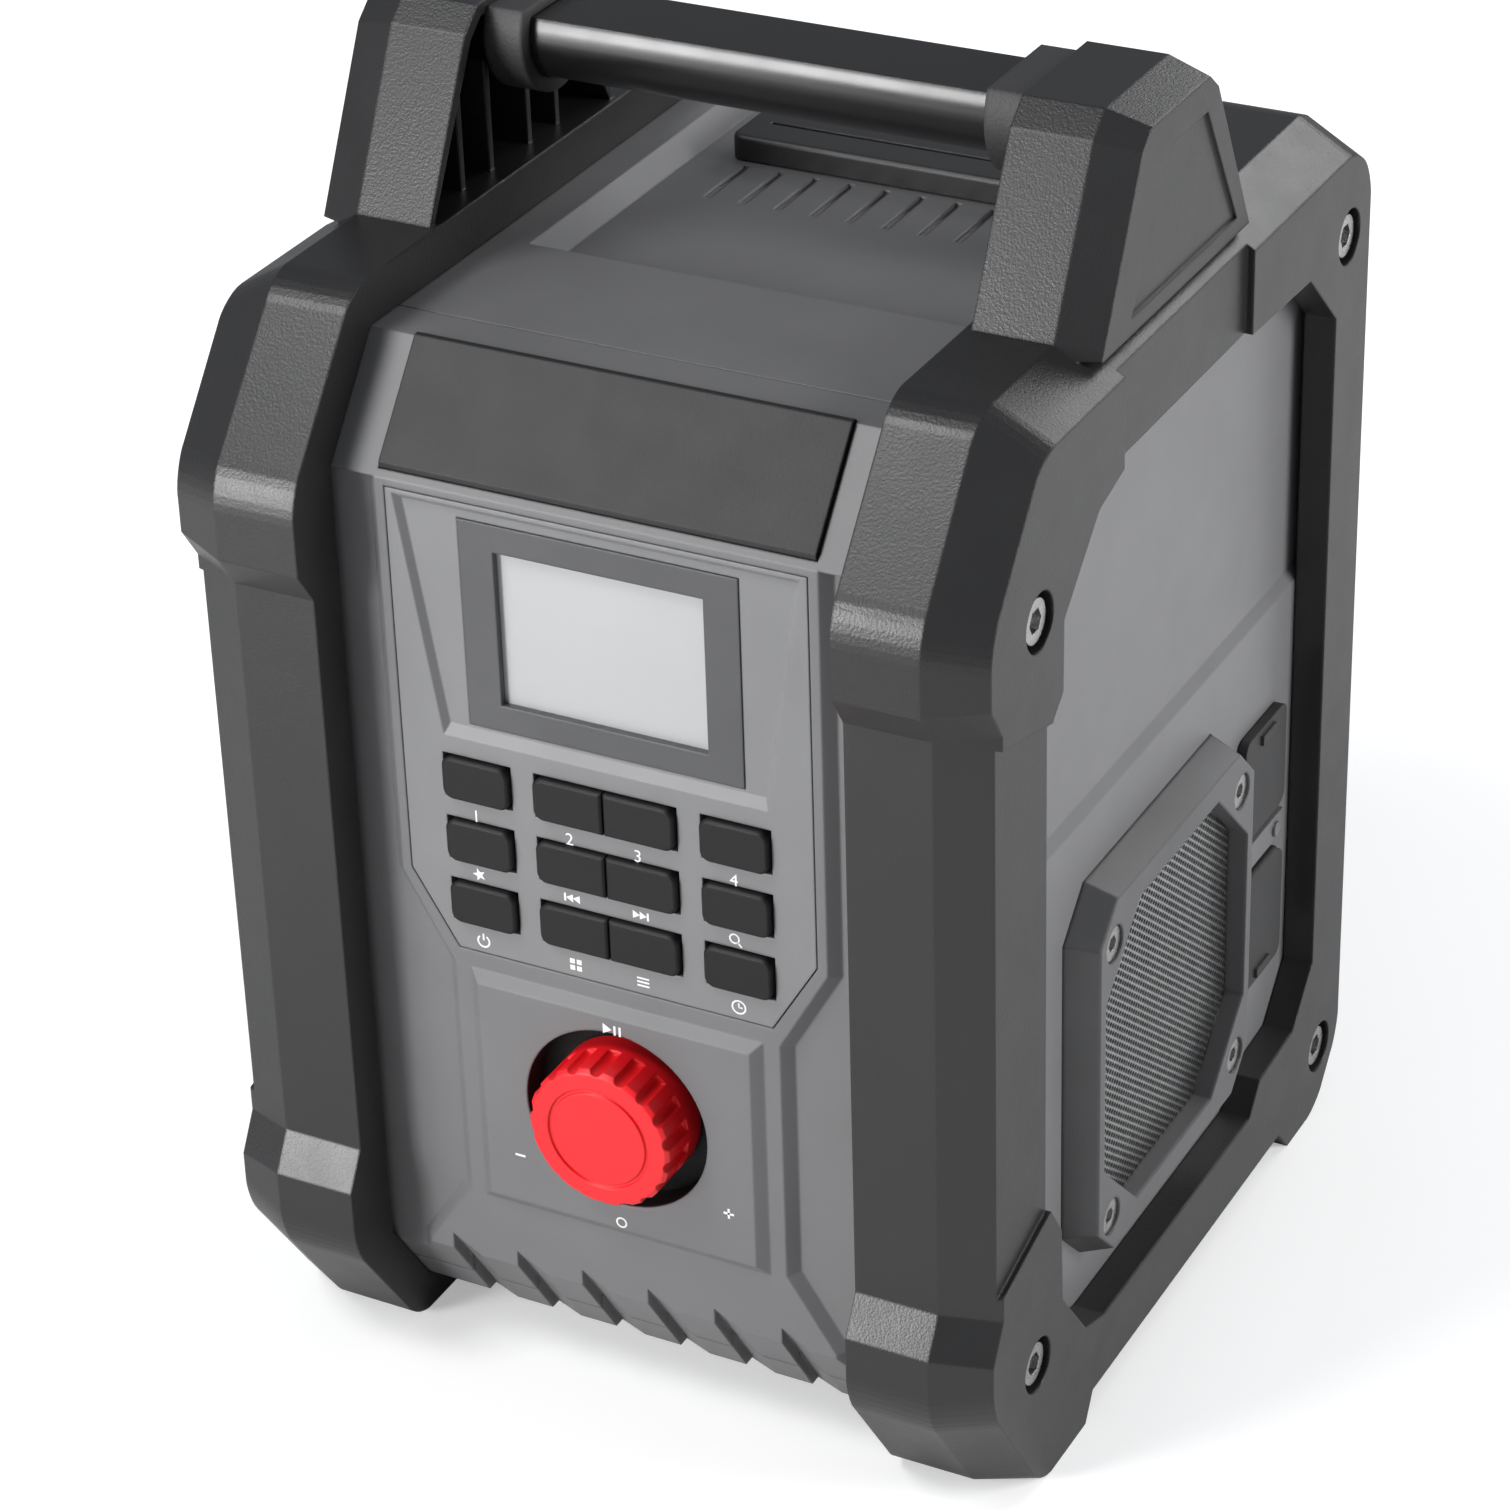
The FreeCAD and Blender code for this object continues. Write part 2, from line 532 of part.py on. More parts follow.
def plate_body(label, size, place, pocket=None):
    """PartDesign plate standing in the front plane: size and place are sheet expressions."""
    body = doc.addObject("PartDesign::Body", label)
    sketch = body.newObject("Sketcher::SketchObject", label + "_outline")
    plane = [f for f in body.Origin.OriginFeatures if f.Role == "XY_Plane"][0]
    sketch.AttachmentSupport = [(plane, "")]
    sketch.MapMode = "FlatFace"
    add_rectangle(sketch, "1 mm * " + size[0], "1 mm * " + size[1], 0)
    if pocket:
        add_rectangle(sketch, "1 mm * " + pocket[0], "1 mm * " + pocket[1], 4)
    pad = body.newObject("PartDesign::Pad", label + "_plate")
    pad.Profile = sketch
    pad.setExpression("Length", "1 mm * " + size[2])
    body.Placement = FreeCAD.Placement(FreeCAD.Vector(), FreeCAD.Rotation(FreeCAD.Vector(1, 0, 0), 90))
    for axis, value in zip("xyz", place):
        body.setExpression("Placement.Base." + axis, "1 mm * (" + value + ")")
    return body, pad


def add_rectangle(sketch, width, height, first):
    import Sketcher
    corners = [(-5, -4), (5, -4), (5, 4), (-5, 4)]
    for i in range(4):
        a, b = corners[i], corners[(i + 1) % 4]
        sketch.addGeometry(Part.LineSegment(FreeCAD.Vector(a[0], a[1], 0), FreeCAD.Vector(b[0], b[1], 0)), False)
    for i in range(4):
        sketch.addConstraint(Sketcher.Constraint("Coincident", first + i, 2, first + (i + 1) % 4, 1))
    for i, kind in enumerate(("Horizontal", "Vertical", "Horizontal", "Vertical")):
        sketch.addConstraint(Sketcher.Constraint(kind, first + i))
    sketch.addConstraint(Sketcher.Constraint("Symmetric", first, 1, first + 2, 1, -1, 1))
    wide = sketch.addConstraint(Sketcher.Constraint("Distance", first, 10.0))
    tall = sketch.addConstraint(Sketcher.Constraint("Distance", first + 1, 8.0))
    sketch.setExpression("Constraints[%d]" % wide, width)
    sketch.setExpression("Constraints[%d]" % tall, height)


def front(expression):
    """Expression for a depth behind the front plane, in the part's frame."""
    return expression + " - sizes.depth / 2"


bezel_mid = "(sizes.bezel_foot + sizes.bezel_head) / 2"
face_back = "sizes.face_depth + sizes.panel_thickness"
body, pad = plate_body(
    "display_bezel",
    ("sizes.bezel_half * 2", "(sizes.bezel_head - sizes.bezel_foot)", "sizes.bezel_thickness"),
    ("0", front(face_back), bezel_mid),
    ("sizes.window_half * 2", "(sizes.window_head - sizes.window_foot)"))
doc.recompute()
export("display_bezel", body)
body, pad = plate_body(
    "display_glass",
    ("(sizes.bezel_half * 2 - 6)", "(sizes.bezel_head - sizes.bezel_foot - 2)", "sizes.glass_thickness"),
    ("0", front(face_back + " + sizes.glass_thickness"), bezel_mid))
doc.recompute()
export("display_glass", body)
body, pad = plate_body(
    "display_module",
    ("(sizes.bezel_half * 2 + 1)", "(sizes.bezel_head - sizes.bezel_foot + 1)", "sizes.module_thickness"),
    ("0", front(face_back + " + sizes.glass_thickness + sizes.module_thickness"), bezel_mid))
doc.recompute()
export("display_module", body)

BOARD = FACE + V("panel_thickness") + V("glass_thickness") + V("module_thickness")
board_shape = box(-45.5, 45.5, BOARD, BOARD + V("board_thickness"), V("panel_foot") + 2.2, V("panel_top") - 3.0)
parts_on_board = [box(-30, -18, BOARD + V("board_thickness"), BOARD + V("board_thickness") + 1.6, 140, 152),
                  box(8, 24, BOARD + V("board_thickness"), BOARD + V("board_thickness") + 5.0, 205, 211)]
export("control_board", feature("control_board", fuse([board_shape] + parts_on_board)))
mat_foot = V("key_row_top") - 2 * V("key_pitch") - V("key_height") / 2 - V("key_flange_rim")
mat_head = V("key_row_top") + V("key_height") / 2 + V("key_flange_rim")
export("keypad_mat", feature("keypad_mat", box(-41.5, 41.5, BOARD - V("mat_thickness"), BOARD, mat_foot, mat_head)))


def key(x, z, kind):
    """One rubber key: a rounded cap through the panel and a flange behind it."""
    width = V("key_width") if kind == "single" else V("pair_key_width")
    tall, rim = V("key_height"), V("key_flange_rim")
    back = FACE + V("panel_thickness") + GAP / 2
    cap = box(x - width / 2, x + width / 2, FACE - V("key_proud"), back, z - tall / 2, z + tall / 2)
    corner = 2.4

    def standing(edge):
        a, b = edge.Vertexes[0].Point, edge.Vertexes[-1].Point
        if abs(a.y - b.y) < 1:
            return False
        if kind == "left":
            return a.x < x - 1
        if kind == "right":
            return a.x > x + 1
        return True

    cap = cap.makeFillet(corner, [e for e in cap.Edges if standing(e)])
    face = [e for e in cap.Edges if all(abs(v.Point.y - at(FACE - V("key_proud"))) < 1e-6 for v in e.Vertexes)]
    cap = cap.makeChamfer(0.5, face)
    left = 0.0 if kind == "right" else rim
    right = 0.0 if kind == "left" else rim
    flange = box(x - width / 2 - left, x + width / 2 + right, back, back + V("key_flange"),
                 z - tall / 2 - rim, z + tall / 2 + rim)
    return cap.fuse(flange).removeSplitter()


for i, (x, z, kind) in enumerate(KEYS, start=1):
    export("key_%02d" % i, feature("key_%02d" % i, key(x, z, kind)))

# Knob, shaft and encoder

RIM_FACE = FACE - V("pad_raise")
CUP_BACK = RIM_FACE + V("cup_depth") + V("cup_wall")
KNOB_BACK = V("knob_front") + V("knob_length")


def knob():
    radius, z = V("knob_radius"), V("knob_z")
    body = rod(0, V("knob_front"), z, radius, V("knob_length"), (0, 1, 0))
    front_edge = [e for e in body.Edges if len(e.Vertexes) == 1 and abs(e.Vertexes[0].Point.y - at(V("knob_front"))) < 1e-6]
    body = body.makeChamfer(0.9, front_edge)
    count = int(V("flute_count"))
    for i in range(count):
        a = 2 * math.pi * (i + 0.5) / count
        reach = radius + V("flute_radius") * 0.35
        flute = rod(reach * math.cos(a), V("knob_front") - 1, z + reach * math.sin(a), V("flute_radius"),
                    V("knob_length") * 0.62 + 1, (0, 1, 0))
        body = body.cut(flute)
    groove = rod(0, V("knob_front") - 1, z, radius * 0.72, 1.5, (0, 1, 0))
    groove = groove.cut(rod(0, V("knob_front") - 1, z, radius * 0.72 - 0.9, 1.5, (0, 1, 0)))
    body = body.cut(groove)
    hollow = rod(0, V("knob_front") + 3.0, z, radius - 3.6, V("knob_length"), (0, 1, 0))
    hub = rod(0, V("knob_front") + 3.0, z, V("shaft_radius") + 2.4, V("knob_length") - 3.0, (0, 1, 0))
    body = body.cut(hollow.cut(hub))
    body = body.cut(rod(0, V("knob_front") + 5.0, z, V("shaft_radius") + 0.05, V("knob_length"), (0, 1, 0)))
    return body


export("knob", feature("knob", knob()))
shaft_start = V("knob_front") + 5.2
shaft_end = CUP_BACK + V("encoder_length") - 1.6 - V("key_travel")
shaft = rod(0, shaft_start, V("knob_z"), V("shaft_radius"), shaft_end - shaft_start, (0, 1, 0))
export("encoder_shaft", feature("encoder_shaft", shaft))
half = V("encoder_size") / 2
encoder = box(-half, half, CUP_BACK, CUP_BACK + V("encoder_length"), V("knob_z") - half, V("knob_z") + half)
encoder = encoder.fuse(rod(0, RIM_FACE + V("cup_depth"), V("knob_z"), V("bush_radius"), V("cup_wall") + 1, (0, 1, 0)))
encoder = encoder.cut(rod(0, RIM_FACE, V("knob_z"), V("shaft_radius") + 0.1,
                          CUP_BACK + V("encoder_length") - 1.0 - RIM_FACE, (0, 1, 0)))
export("encoder_body", feature("encoder_body", encoder.removeSplitter()))

# Main shell

SY, SZ = V("speaker_depth"), V("speaker_z")
LOW, HIGH = V("body_low_half"), V("body_half")
DRIVER_SCREWS = [(SY + a * V("driver_screw_y"), SZ + b * V("driver_screw_z")) for a in (-1, 1) for b in (-1, 1)]
SMALL_SCREWS = [(SY + a * V("screw_square"), SZ - 0.5 + b * V("screw_square")) for a in (-1, 1) for b in (-1, 1)]


def shell():
    start = RIM + GAP
    walls = both([(HIGH, V("shell_top")), (HIGH, V("ledge_z") + 2.5), (LOW, V("ledge_z")), (LOW, V("floor_z"))])
    body = front_prism(walls, start, REAR)
    body = body.cut(box(-INNER, INNER, start - 1, REAR + 1, V("floor_z") + V("body_wall"), V("shell_top") + 1))
    bevel = [(start, chin_height(start) + V("chin_wall")), (start, V("floor_z")), (start + 13, V("floor_z")),
             (start + 13, V("floor_z") + 2.0), (start + 5.5, chin_height(start + 5.5) + V("chin_wall"))]
    body = body.fuse(side_prism(bevel, -INNER - 1, INNER + 1))
    silhouette = [(start, chin_height(start)), (chin_depth(V("floor_z")), V("floor_z")), (REAR, V("floor_z")),
                  (REAR, V("shell_top")), (slope_depth(V("shell_top"), 6.4 + GAP), V("shell_top")),
                  (start, slope_height(start, 6.4 + GAP))]
    body = body.common(side_prism(silhouette, -W, W))
    extras, holes = [], []
    for side in (-1, 1):
        for y, z in CAGE_SCREWS:
            extras.append(rod(side * (INNER + 1), y, z, 4.2, 11, (-side, 0, 0)))
            holes.append(rod(side * (LOW + 1), y, z, V("cage_screw_radius") + 0.05, 15, (-side, 0, 0)))
        for y, z in SMALL_SCREWS:
            extras.append(rod(side * (INNER + 0.5), y, z, 4.0, 8, (-side, 0, 0)))
            holes.append(rod(side * (LOW + 1), y, z, V("small_screw_radius") + 0.05, 11, (-side, 0, 0)))
        holes.append(rod(side * (LOW + 1), SY, SZ, V("driver_radius"), 8, (-side, 0, 0)))
        for y, z in DRIVER_SCREWS:
            holes.append(rod(side * (INNER - 1), y, z, 1.55, 4.2, (side, 0, 0)))
    # jack and supply openings in the right wall, under the rubber covers
    for y, z, access, radius in JACKS:
        holes.append(rod(LOW + 1, y, z, access, 8, (-1, 0, 0)))
    for x, y in BOARD_POSTS:
        extras.append(rod(x, y, V("floor_z") + 1, 3.0, 9.0, (0, 0, 1)))
    body = fuse([body] + extras)
    for hole in holes + CHIN_CHANNELS:
        body = body.cut(hole)
    return body


PORT_MID = (PF + PR) / 2
# depth, height, access hole in the wall, bore of the socket
JACKS = [(PORT_MID, (V("port_upper_foot") + V("port_upper_head")) / 2 + 2.0, V("aux_access"), V("aux_radius")),
         (PORT_MID, (V("port_lower_foot") + V("port_lower_head")) / 2 - 2.0, V("supply_access"), V("supply_radius"))]
BOARD_POSTS = [(x, y) for x in (-52.0, 52.0) for y in (58.0, 138.0)]
export("main_shell", feature("main_shell", shell()))

# Top lid

FLOOR = V("lid_top") - V("lid_recess_depth")


def lid():
    front = V("lid_front") + GAP
    body = box(-HIGH, HIGH, front, REAR, V("shell_top"), V("lid_top"))
    body = body.cut(box(-INNER, INNER, front + 3, V("lid_recess_front") - 3, V("shell_top") - 1, V("lid_top") - 3))
    half, bevel = V("lid_recess_half"), V("lid_recess_bevel")
    y0, y1 = V("lid_recess_front"), REAR + 30
    upper = [FreeCAD.Vector(x, at(y), V("lid_top") + 0.01) for x, y in ((-half, y0), (half, y0), (half, y1), (-half, y1))]
    lower = [FreeCAD.Vector(x, at(y), FLOOR) for x, y in
             ((bevel - half, y0 + bevel), (half - bevel, y0 + bevel), (half - bevel, y1 - bevel), (bevel - half, y1 - bevel))]
    recess = solid_between(lower, upper)
    body = body.cut(recess if recess.Volume > 0 else recess.reversed())
    count = int(V("slot_count"))
    for i in range(count):
        x = (i - (count - 1) / 2) * V("slot_pitch")
        body = body.cut(box(x - V("slot_width") / 2, x + V("slot_width") / 2, V("slot_front"),
                            V("slot_front") + V("slot_length"), FLOOR - V("slot_depth"), FLOOR + 1))
    return body


export("top_lid", feature("top_lid", lid()))

# Latch bar with its tongue

bar = box(-V("latch_half"), V("latch_half"), LATCH_FRONT, LATCH_REAR, FLOOR + GAP,
          FLOOR + GAP + V("latch_height"))
bar = bar.makeFillet(3.0, [e for e in bar.Edges if abs(e.Vertexes[0].Point.z - e.Vertexes[-1].Point.z) > 1])
upper = [e for e in bar.Edges if all(abs(v.Point.z - FLOOR - GAP - V("latch_height")) < 1e-6 for v in e.Vertexes)]
bar = bar.makeFillet(1.2, upper)
for y in (LATCH_FRONT + 9.0, LATCH_FRONT + 15.0):
    bar = bar.cut(box(-V("latch_half") + 6, V("latch_half") - 6, y, y + 1.6, FLOOR + GAP + V("latch_height") - 1.0,
                      FLOOR + GAP + V("latch_height") + 1))
DOOR_IN = REAR + V("rear_wall") + GAP
DOOR_OUT = DOOR_IN + V("door_thickness")
tongue = box(-V("tongue_half"), V("tongue_half"), LATCH_REAR - 5, DOOR_OUT, FLOOR + GAP,
             FLOOR + GAP + V("tongue_thickness"))
export("top_latch", feature("top_latch", bar.fuse(tongue).removeSplitter()))

# Rear panel, battery bay, door

HZ, HR, HP = V("hinge_z"), V("hinge_radius"), V("hinge_pin_radius")
HY = REAR + V("rear_wall") + GAP + HR


def rear_panel():
    body = box(-HIGH, HIGH, REAR, REAR + V("rear_wall"), V("floor_z"), V("lid_top"))
    body = body.cut(box(-V("bay_half"), V("bay_half"), REAR - 1, REAR + 9, V("bay_foot"), V("bay_head")))
    body = body.cut(box(-V("tongue_half") - GAP, V("tongue_half") + GAP, REAR - 1, REAR + 9, FLOOR, V("lid_top") + 1))
    knuckle = rod(-11.7, HY, HZ, HR, 23.4, (1, 0, 0))
    web = box(-11.7, 11.7, REAR + V("rear_wall") - 1, HY, HZ - HR, HZ)
    body = body.fuse(knuckle).fuse(web)
    return body.cut(rod(-20, HY, HZ, HP + 0.05, 40, (1, 0, 0))).removeSplitter()


export("rear_panel", feature("rear_panel", rear_panel()))


def battery_bay():
    w = V("bay_wall")
    half, foot, head, start = V("bay_half"), V("bay_foot"), V("bay_head"), BAY_FRONT
    body = box(-half - w, half + w, start - w, REAR, foot - w, head + w)
    body = body.cut(box(-half, half, start, REAR + 1, foot, head))
    inner, wide, tall = V("rail_half"), V("rail_width"), V("rail_height")
    for side in (-1, 1):
        x0, x1 = sorted((side * (inner + wide), side * (inner + 3.0)))
        body = body.fuse(box(x0, x1, start - 0.5, start + tall, foot + 18, head - 40))
        x0, x1 = sorted((side * inner, side * (inner + wide)))
        body = body.fuse(box(x0, x1, start + tall - 2.5, start + tall, foot + 18, head - 40))
    return body.removeSplitter()


export("battery_bay", feature("battery_bay", battery_bay()))
block_foot = V("bay_head") - 30.0
block = box(-17, 17, BAY_FRONT, BAY_FRONT + 14, block_foot, V("bay_head"))
blades = []
for x in (-11.0, -3.7, 3.7, 11.0):
    y0 = BAY_FRONT + 5.0
    block = block.cut(box(x - 0.5, x + 0.5, y0 - 0.1, y0 + 6.1, block_foot - 1, block_foot + 12))
    blades.append(box(x - 0.4, x + 0.4, y0, y0 + 6.0, block_foot - 14.0, block_foot + 12))
export("terminal_block", feature("terminal_block", block))
export("terminal_blades", feature("terminal_blades", Part.makeCompound(blades)))


def door():
    half = V("door_half")
    body = box(-half, half, DOOR_IN, DOOR_OUT, V("door_foot"), V("door_head"))
    body = body.makeFillet(6.0, [e for e in body.Edges
                                 if abs(e.Vertexes[0].Point.y - e.Vertexes[-1].Point.y) > 1])
    outer = [e for e in body.Edges if all(abs(v.Point.y - at(DOOR_OUT)) < 1e-6 for v in e.Vertexes)]
    body = body.makeChamfer(0.8, outer)
    for x0 in (-30.0, 12.0):
        body = body.fuse(rod(x0, HY, HZ, HR, 18.0, (1, 0, 0)))
        body = body.fuse(box(x0, x0 + 18.0, HY - HR + 0.05, HY, HZ, V("door_foot") + 1))
    body = body.cut(box(-V("tongue_half") - GAP, V("tongue_half") + GAP, DOOR_IN - 1, DOOR_OUT + 1,
                        FLOOR, FLOOR + 2 * GAP + V("tongue_thickness")))
    return body.cut(rod(-40, HY, HZ, HP + V("pin_gap"), 80, (1, 0, 0))).removeSplitter()


export("battery_door", feature("battery_door", door()))
export("door_pin", feature("door_pin", rod(-30, HY, HZ, HP, 60, (1, 0, 0))))

# Speakers


def octagon(half_y, half_z, clip):
    return [(SY - half_y, SZ - half_z + clip), (SY - half_y + clip, SZ - half_z), (SY + half_y - clip, SZ - half_z),
            (SY + half_y, SZ - half_z + clip), (SY + half_y, SZ + half_z - clip), (SY + half_y - clip, SZ + half_z),
            (SY - half_y + clip, SZ + half_z), (SY - half_y, SZ + half_z - clip)]


FACE_X = LOW + V("grille_bezel_height")
MESH_FACE = FACE_X - V("mesh_sink")


def speaker_bezel():
    flare = V("bezel_flare")
    face = octagon(V("bezel_face_y"), V("bezel_face_z"), 9.0)
    base = inset(face, [-flare] * 8)
    body = side_frustum(base, LOW, face, FACE_X)
    grille = octagon(V("grille_half"), V("grille_half"), V("grille_clip"))
    body = body.cut(side_prism(grille, LOW - 1, FACE_X + 1))
    seat = inset(grille, [-1.2] * 8)
    body = body.cut(side_prism(seat, LOW - 1, MESH_FACE))
    for y, z in SMALL_SCREWS:
        body = body.cut(rod(FACE_X - V("small_bore_depth"), y, z, V("small_head_radius") + GAP,
                            V("small_bore_depth") + 1, (1, 0, 0)))
        body = body.cut(rod(LOW - 1, y, z, V("small_screw_radius") + 0.2, 20, (1, 0, 0)))
    return body


def speaker_mesh():
    grille = octagon(V("grille_half") + 1.0, V("grille_half") + 1.0, V("grille_clip") + 0.6)
    x0 = MESH_FACE - V("mesh_thickness")
    outer = ring([FreeCAD.Vector(x0, at(y), z) for y, z in grille])
    holes = []
    step, r = V("mesh_pitch"), V("mesh_hole") / 2
    rows = int(V("grille_half") // (step * 0.866))
    for j in range(-rows, rows + 1):
        z = SZ + j * step * 0.866
        shift = 0.5 * step if j % 2 else 0.0
        for i in range(-9, 10):
            y = SY + i * step + shift
            dy, dz = abs(y - SY), abs(z - SZ)
            reach = V("grille_half") - r - 1.4
            if dy > reach or dz > reach or dy + dz > 2 * V("grille_half") - V("grille_clip") - 1.4 * r - 2.2:
                continue
            points = [FreeCAD.Vector(x0, at(y) + r * math.cos(k * math.pi / 3), z + r * math.sin(k * math.pi / 3))
                      for k in range(6)]
            holes.append(ring(list(reversed(points))))
    face = Part.Face([outer] + holes)
    face.validate()
    return face.extrude(FreeCAD.Vector(V("mesh_thickness"), 0, 0)), len(holes)


def speaker_gasket():
    grille = octagon(V("grille_half") + 1.0, V("grille_half") + 1.0, V("grille_clip") + 0.6)
    body = side_prism(grille, LOW, MESH_FACE - V("mesh_thickness"))
    return body.cut(rod(LOW - 1, SY, SZ, V("driver_radius") + 1.0, 9, (1, 0, 0)))


def speaker_driver():
    frame, thick, r = V("driver_frame"), V("driver_frame_thickness"), V("driver_radius")
    x1 = INNER
    x0 = x1 - thick
    body = box(x0, x1, SY - frame, SY + frame, SZ - frame, SZ + frame)
    for side_y in (-1, 1):
        for side_z in (-1, 1):
            y, z = SY + side_y * V("screw_square"), SZ - 0.5 + side_z * V("screw_square")
            body = body.cut(rod(x0 - 1, y, z, 5.0, thick + 2, (1, 0, 0)))
    depth = V("driver_depth")
    cup = Part.makeCone(r + 1, V("magnet_radius") - 8, depth, FreeCAD.Vector(x0, at(SY), SZ), FreeCAD.Vector(-1, 0, 0))
    well = Part.makeCone(r - 2, V("magnet_radius") - 10, depth, FreeCAD.Vector(x0 + 1.5, at(SY), SZ),
                         FreeCAD.Vector(-1, 0, 0))
    body = body.fuse(cup)
    body = body.fuse(rod(x0 - depth + 0.5, SY, SZ, V("magnet_radius"), V("magnet_length"), (-1, 0, 0)))
    body = body.cut(well).cut(rod(x0 - 0.5, SY, SZ, r - 2, thick + 2, (1, 0, 0)))
    for y, z in DRIVER_SCREWS:
        body = body.cut(rod(x0 - 1, y, z, 1.65, thick + 2, (1, 0, 0)))
    return body.removeSplitter()


def speaker_cone():
    r, thick = V("driver_radius"), 0.8
    x0 = INNER - V("driver_frame_thickness") + 0.9
    depth = V("driver_depth") - 6.0
    throat = V("magnet_radius") - 8.8
    back = FreeCAD.Vector(-1, 0, 0)
    body = Part.makeCone(r - 2.6, throat, depth, FreeCAD.Vector(x0, at(SY), SZ), back)
    body = body.cut(Part.makeCone(r - 2.6 - thick, throat - thick, depth, FreeCAD.Vector(x0, at(SY), SZ), back))
    body = body.fuse(rod(x0 - depth, SY, SZ, throat - 0.4, 1.0, (1, 0, 0)))
    return body.removeSplitter()


bezel_shape = speaker_bezel()
mesh_shape, mesh_holes = speaker_mesh()
driver_shape = speaker_driver()
gasket_shape = speaker_gasket()
cone_shape = speaker_cone()
for name, shape in (("speaker_bezel", bezel_shape), ("speaker_mesh", mesh_shape), ("speaker_gasket", gasket_shape),
                    ("speaker_driver", driver_shape), ("speaker_cone", cone_shape)):
    export(name + "_right", feature(name + "_right", shape))
    export(name + "_left", feature(name + "_left", mirrored(shape)))
print("mesh holes per side", mesh_holes)

# Screws


def socket_screw(x, y, z, radius, length, head_radius, head_height, socket):
    """Socket-head screw along X, head outwards, its head's inner face at x."""
    body = rod(x, y, z, head_radius, head_height, (1, 0, 0))
    body = body.fuse(rod(x + 0.5, y, z, radius, length + 0.5, (-1, 0, 0)))
    points = [FreeCAD.Vector(x + head_height * 0.4, at(y) + socket * math.cos(k * math.pi / 3),
                             z + socket * math.sin(k * math.pi / 3)) for k in range(6)]
    return body.cut(Part.Face(ring(points)).extrude(FreeCAD.Vector(head_height, 0, 0))).removeSplitter()


cage_screws = [socket_screw(W - V("cage_bore_depth"), y, z, V("cage_screw_radius"), 15.0, V("cage_head_radius"),
                            V("cage_head_height"), 2.9) for y, z in CAGE_SCREWS]
export("cage_screws", feature("cage_screws", Part.makeCompound(cage_screws + [mirrored(s) for s in cage_screws])))
small = [socket_screw(FACE_X - V("small_bore_depth"), y, z, V("small_screw_radius"), 14.0, V("small_head_radius"),
                      V("small_head_height"), 2.0) for y, z in SMALL_SCREWS]
export("bezel_screws", feature("bezel_screws", Part.makeCompound(small + [mirrored(s) for s in small])))
held = []
for y, z in DRIVER_SCREWS:
    frame = INNER - V("driver_frame_thickness")
    screw = rod(frame, y, z, 3.0, 2.0, (-1, 0, 0)).fuse(rod(frame - 0.5, y, z, 1.5, V("driver_frame_thickness") + 3.3, (1, 0, 0)))
    held.append(screw.removeSplitter())
export("driver_screws", feature("driver_screws", Part.makeCompound(held + [mirrored(s) for s in held])))

# Port covers, their clip and the jacks

CLIP_FOOT, CLIP_HEAD = V("port_lower_head") + 3.2, V("port_upper_foot") - 3.2


def port_cover(foot, head, hinge_up):
    """Rubber flap with a half-round hinge roll on the side of the clip."""
    x0 = LOW + GAP
    body = box(x0, x0 + PT, PF, PR, foot, head)
    body = body.makeFillet(3.0, [e for e in body.Edges if abs(e.Vertexes[0].Point.x - e.Vertexes[-1].Point.x) > 1])
    z = head if hinge_up else foot
    roll = rod(x0 + PT / 2, PF + 3.0, z, PT / 2, PR - PF - 6.0, (0, 1, 0))
    tab = box(x0 + PT - 0.4, x0 + PT + 0.9, (PF + PR) / 2 - 4, (PF + PR) / 2 + 4,
              foot + 1.5 if hinge_up else head - 4.0, foot + 4.0 if hinge_up else head - 1.5)
    return body.fuse(roll).fuse(tab).removeSplitter()


export("port_cover_upper", feature("port_cover_upper", port_cover(V("port_upper_foot"), V("port_upper_head"), False)))
export("port_cover_lower", feature("port_cover_lower", port_cover(V("port_lower_foot"), V("port_lower_head"), True)))
clip = box(LOW, LOW + V("clip_thickness"), PF - 1, PR + 1, CLIP_FOOT, CLIP_HEAD)
for y in (PF + 4.0, PR - 4.0):
    clip = clip.fuse(rod(LOW + V("clip_thickness") - 0.5, y, (CLIP_FOOT + CLIP_HEAD) / 2, 1.9, 1.3, (1, 0, 0)))
export("port_clip", feature("port_clip", clip.removeSplitter()))
jack_board = box(INNER - 9.6, INNER - 8.0, PF - 2, PR + 4, V("port_lower_foot") - 2, V("port_upper_head") + 4)
sockets = [jack_board]
for y, z, access, radius in JACKS:
    side = access + 1.4
    sockets.append(box(INNER - 8.5, INNER, y - side, y + side, z - side, z + side))
jacks = fuse(sockets)
for y, z, access, radius in JACKS:
    jacks = jacks.cut(rod(INNER + 1, y, z, radius, 8.0, (-1, 0, 0)))
export("jack_board", feature("jack_board", jacks))

# Main board in the floor of the case

bz = V("floor_z") + 10.0
main = box(-60, 60, 50, 146, bz, bz + V("board_thickness"))
for x, y, r, h in ((-40, 70, 6, 12), (-24, 70, 6, 12), (-40, 88, 4, 8)):
    main = main.fuse(rod(x, y, bz + 1, r, h, (0, 0, 1)))
main = main.fuse(box(-10, 14, 96, 120, bz + 1, bz + 4.0))
main = main.fuse(box(28, 36, 60, 100, bz + 1, bz + 14.0))
export("main_board", feature("main_board", main.removeSplitter()))
screws = []
for x, y in BOARD_POSTS:
    head = rod(x, y, bz + V("board_thickness"), 2.8, 1.8, (0, 0, 1))
    screws.append(head)
export("board_screws", feature("board_screws", Part.makeCompound(screws)))
antenna = box(-INNER, -INNER + 0.6, 60, 170, 205, 214)
export("antenna_strip", feature("antenna_strip", antenna))

doc.recompute()
for label, count, volume in NODES:
    print("%-22s %2d %10.1f" % (label, count, volume))
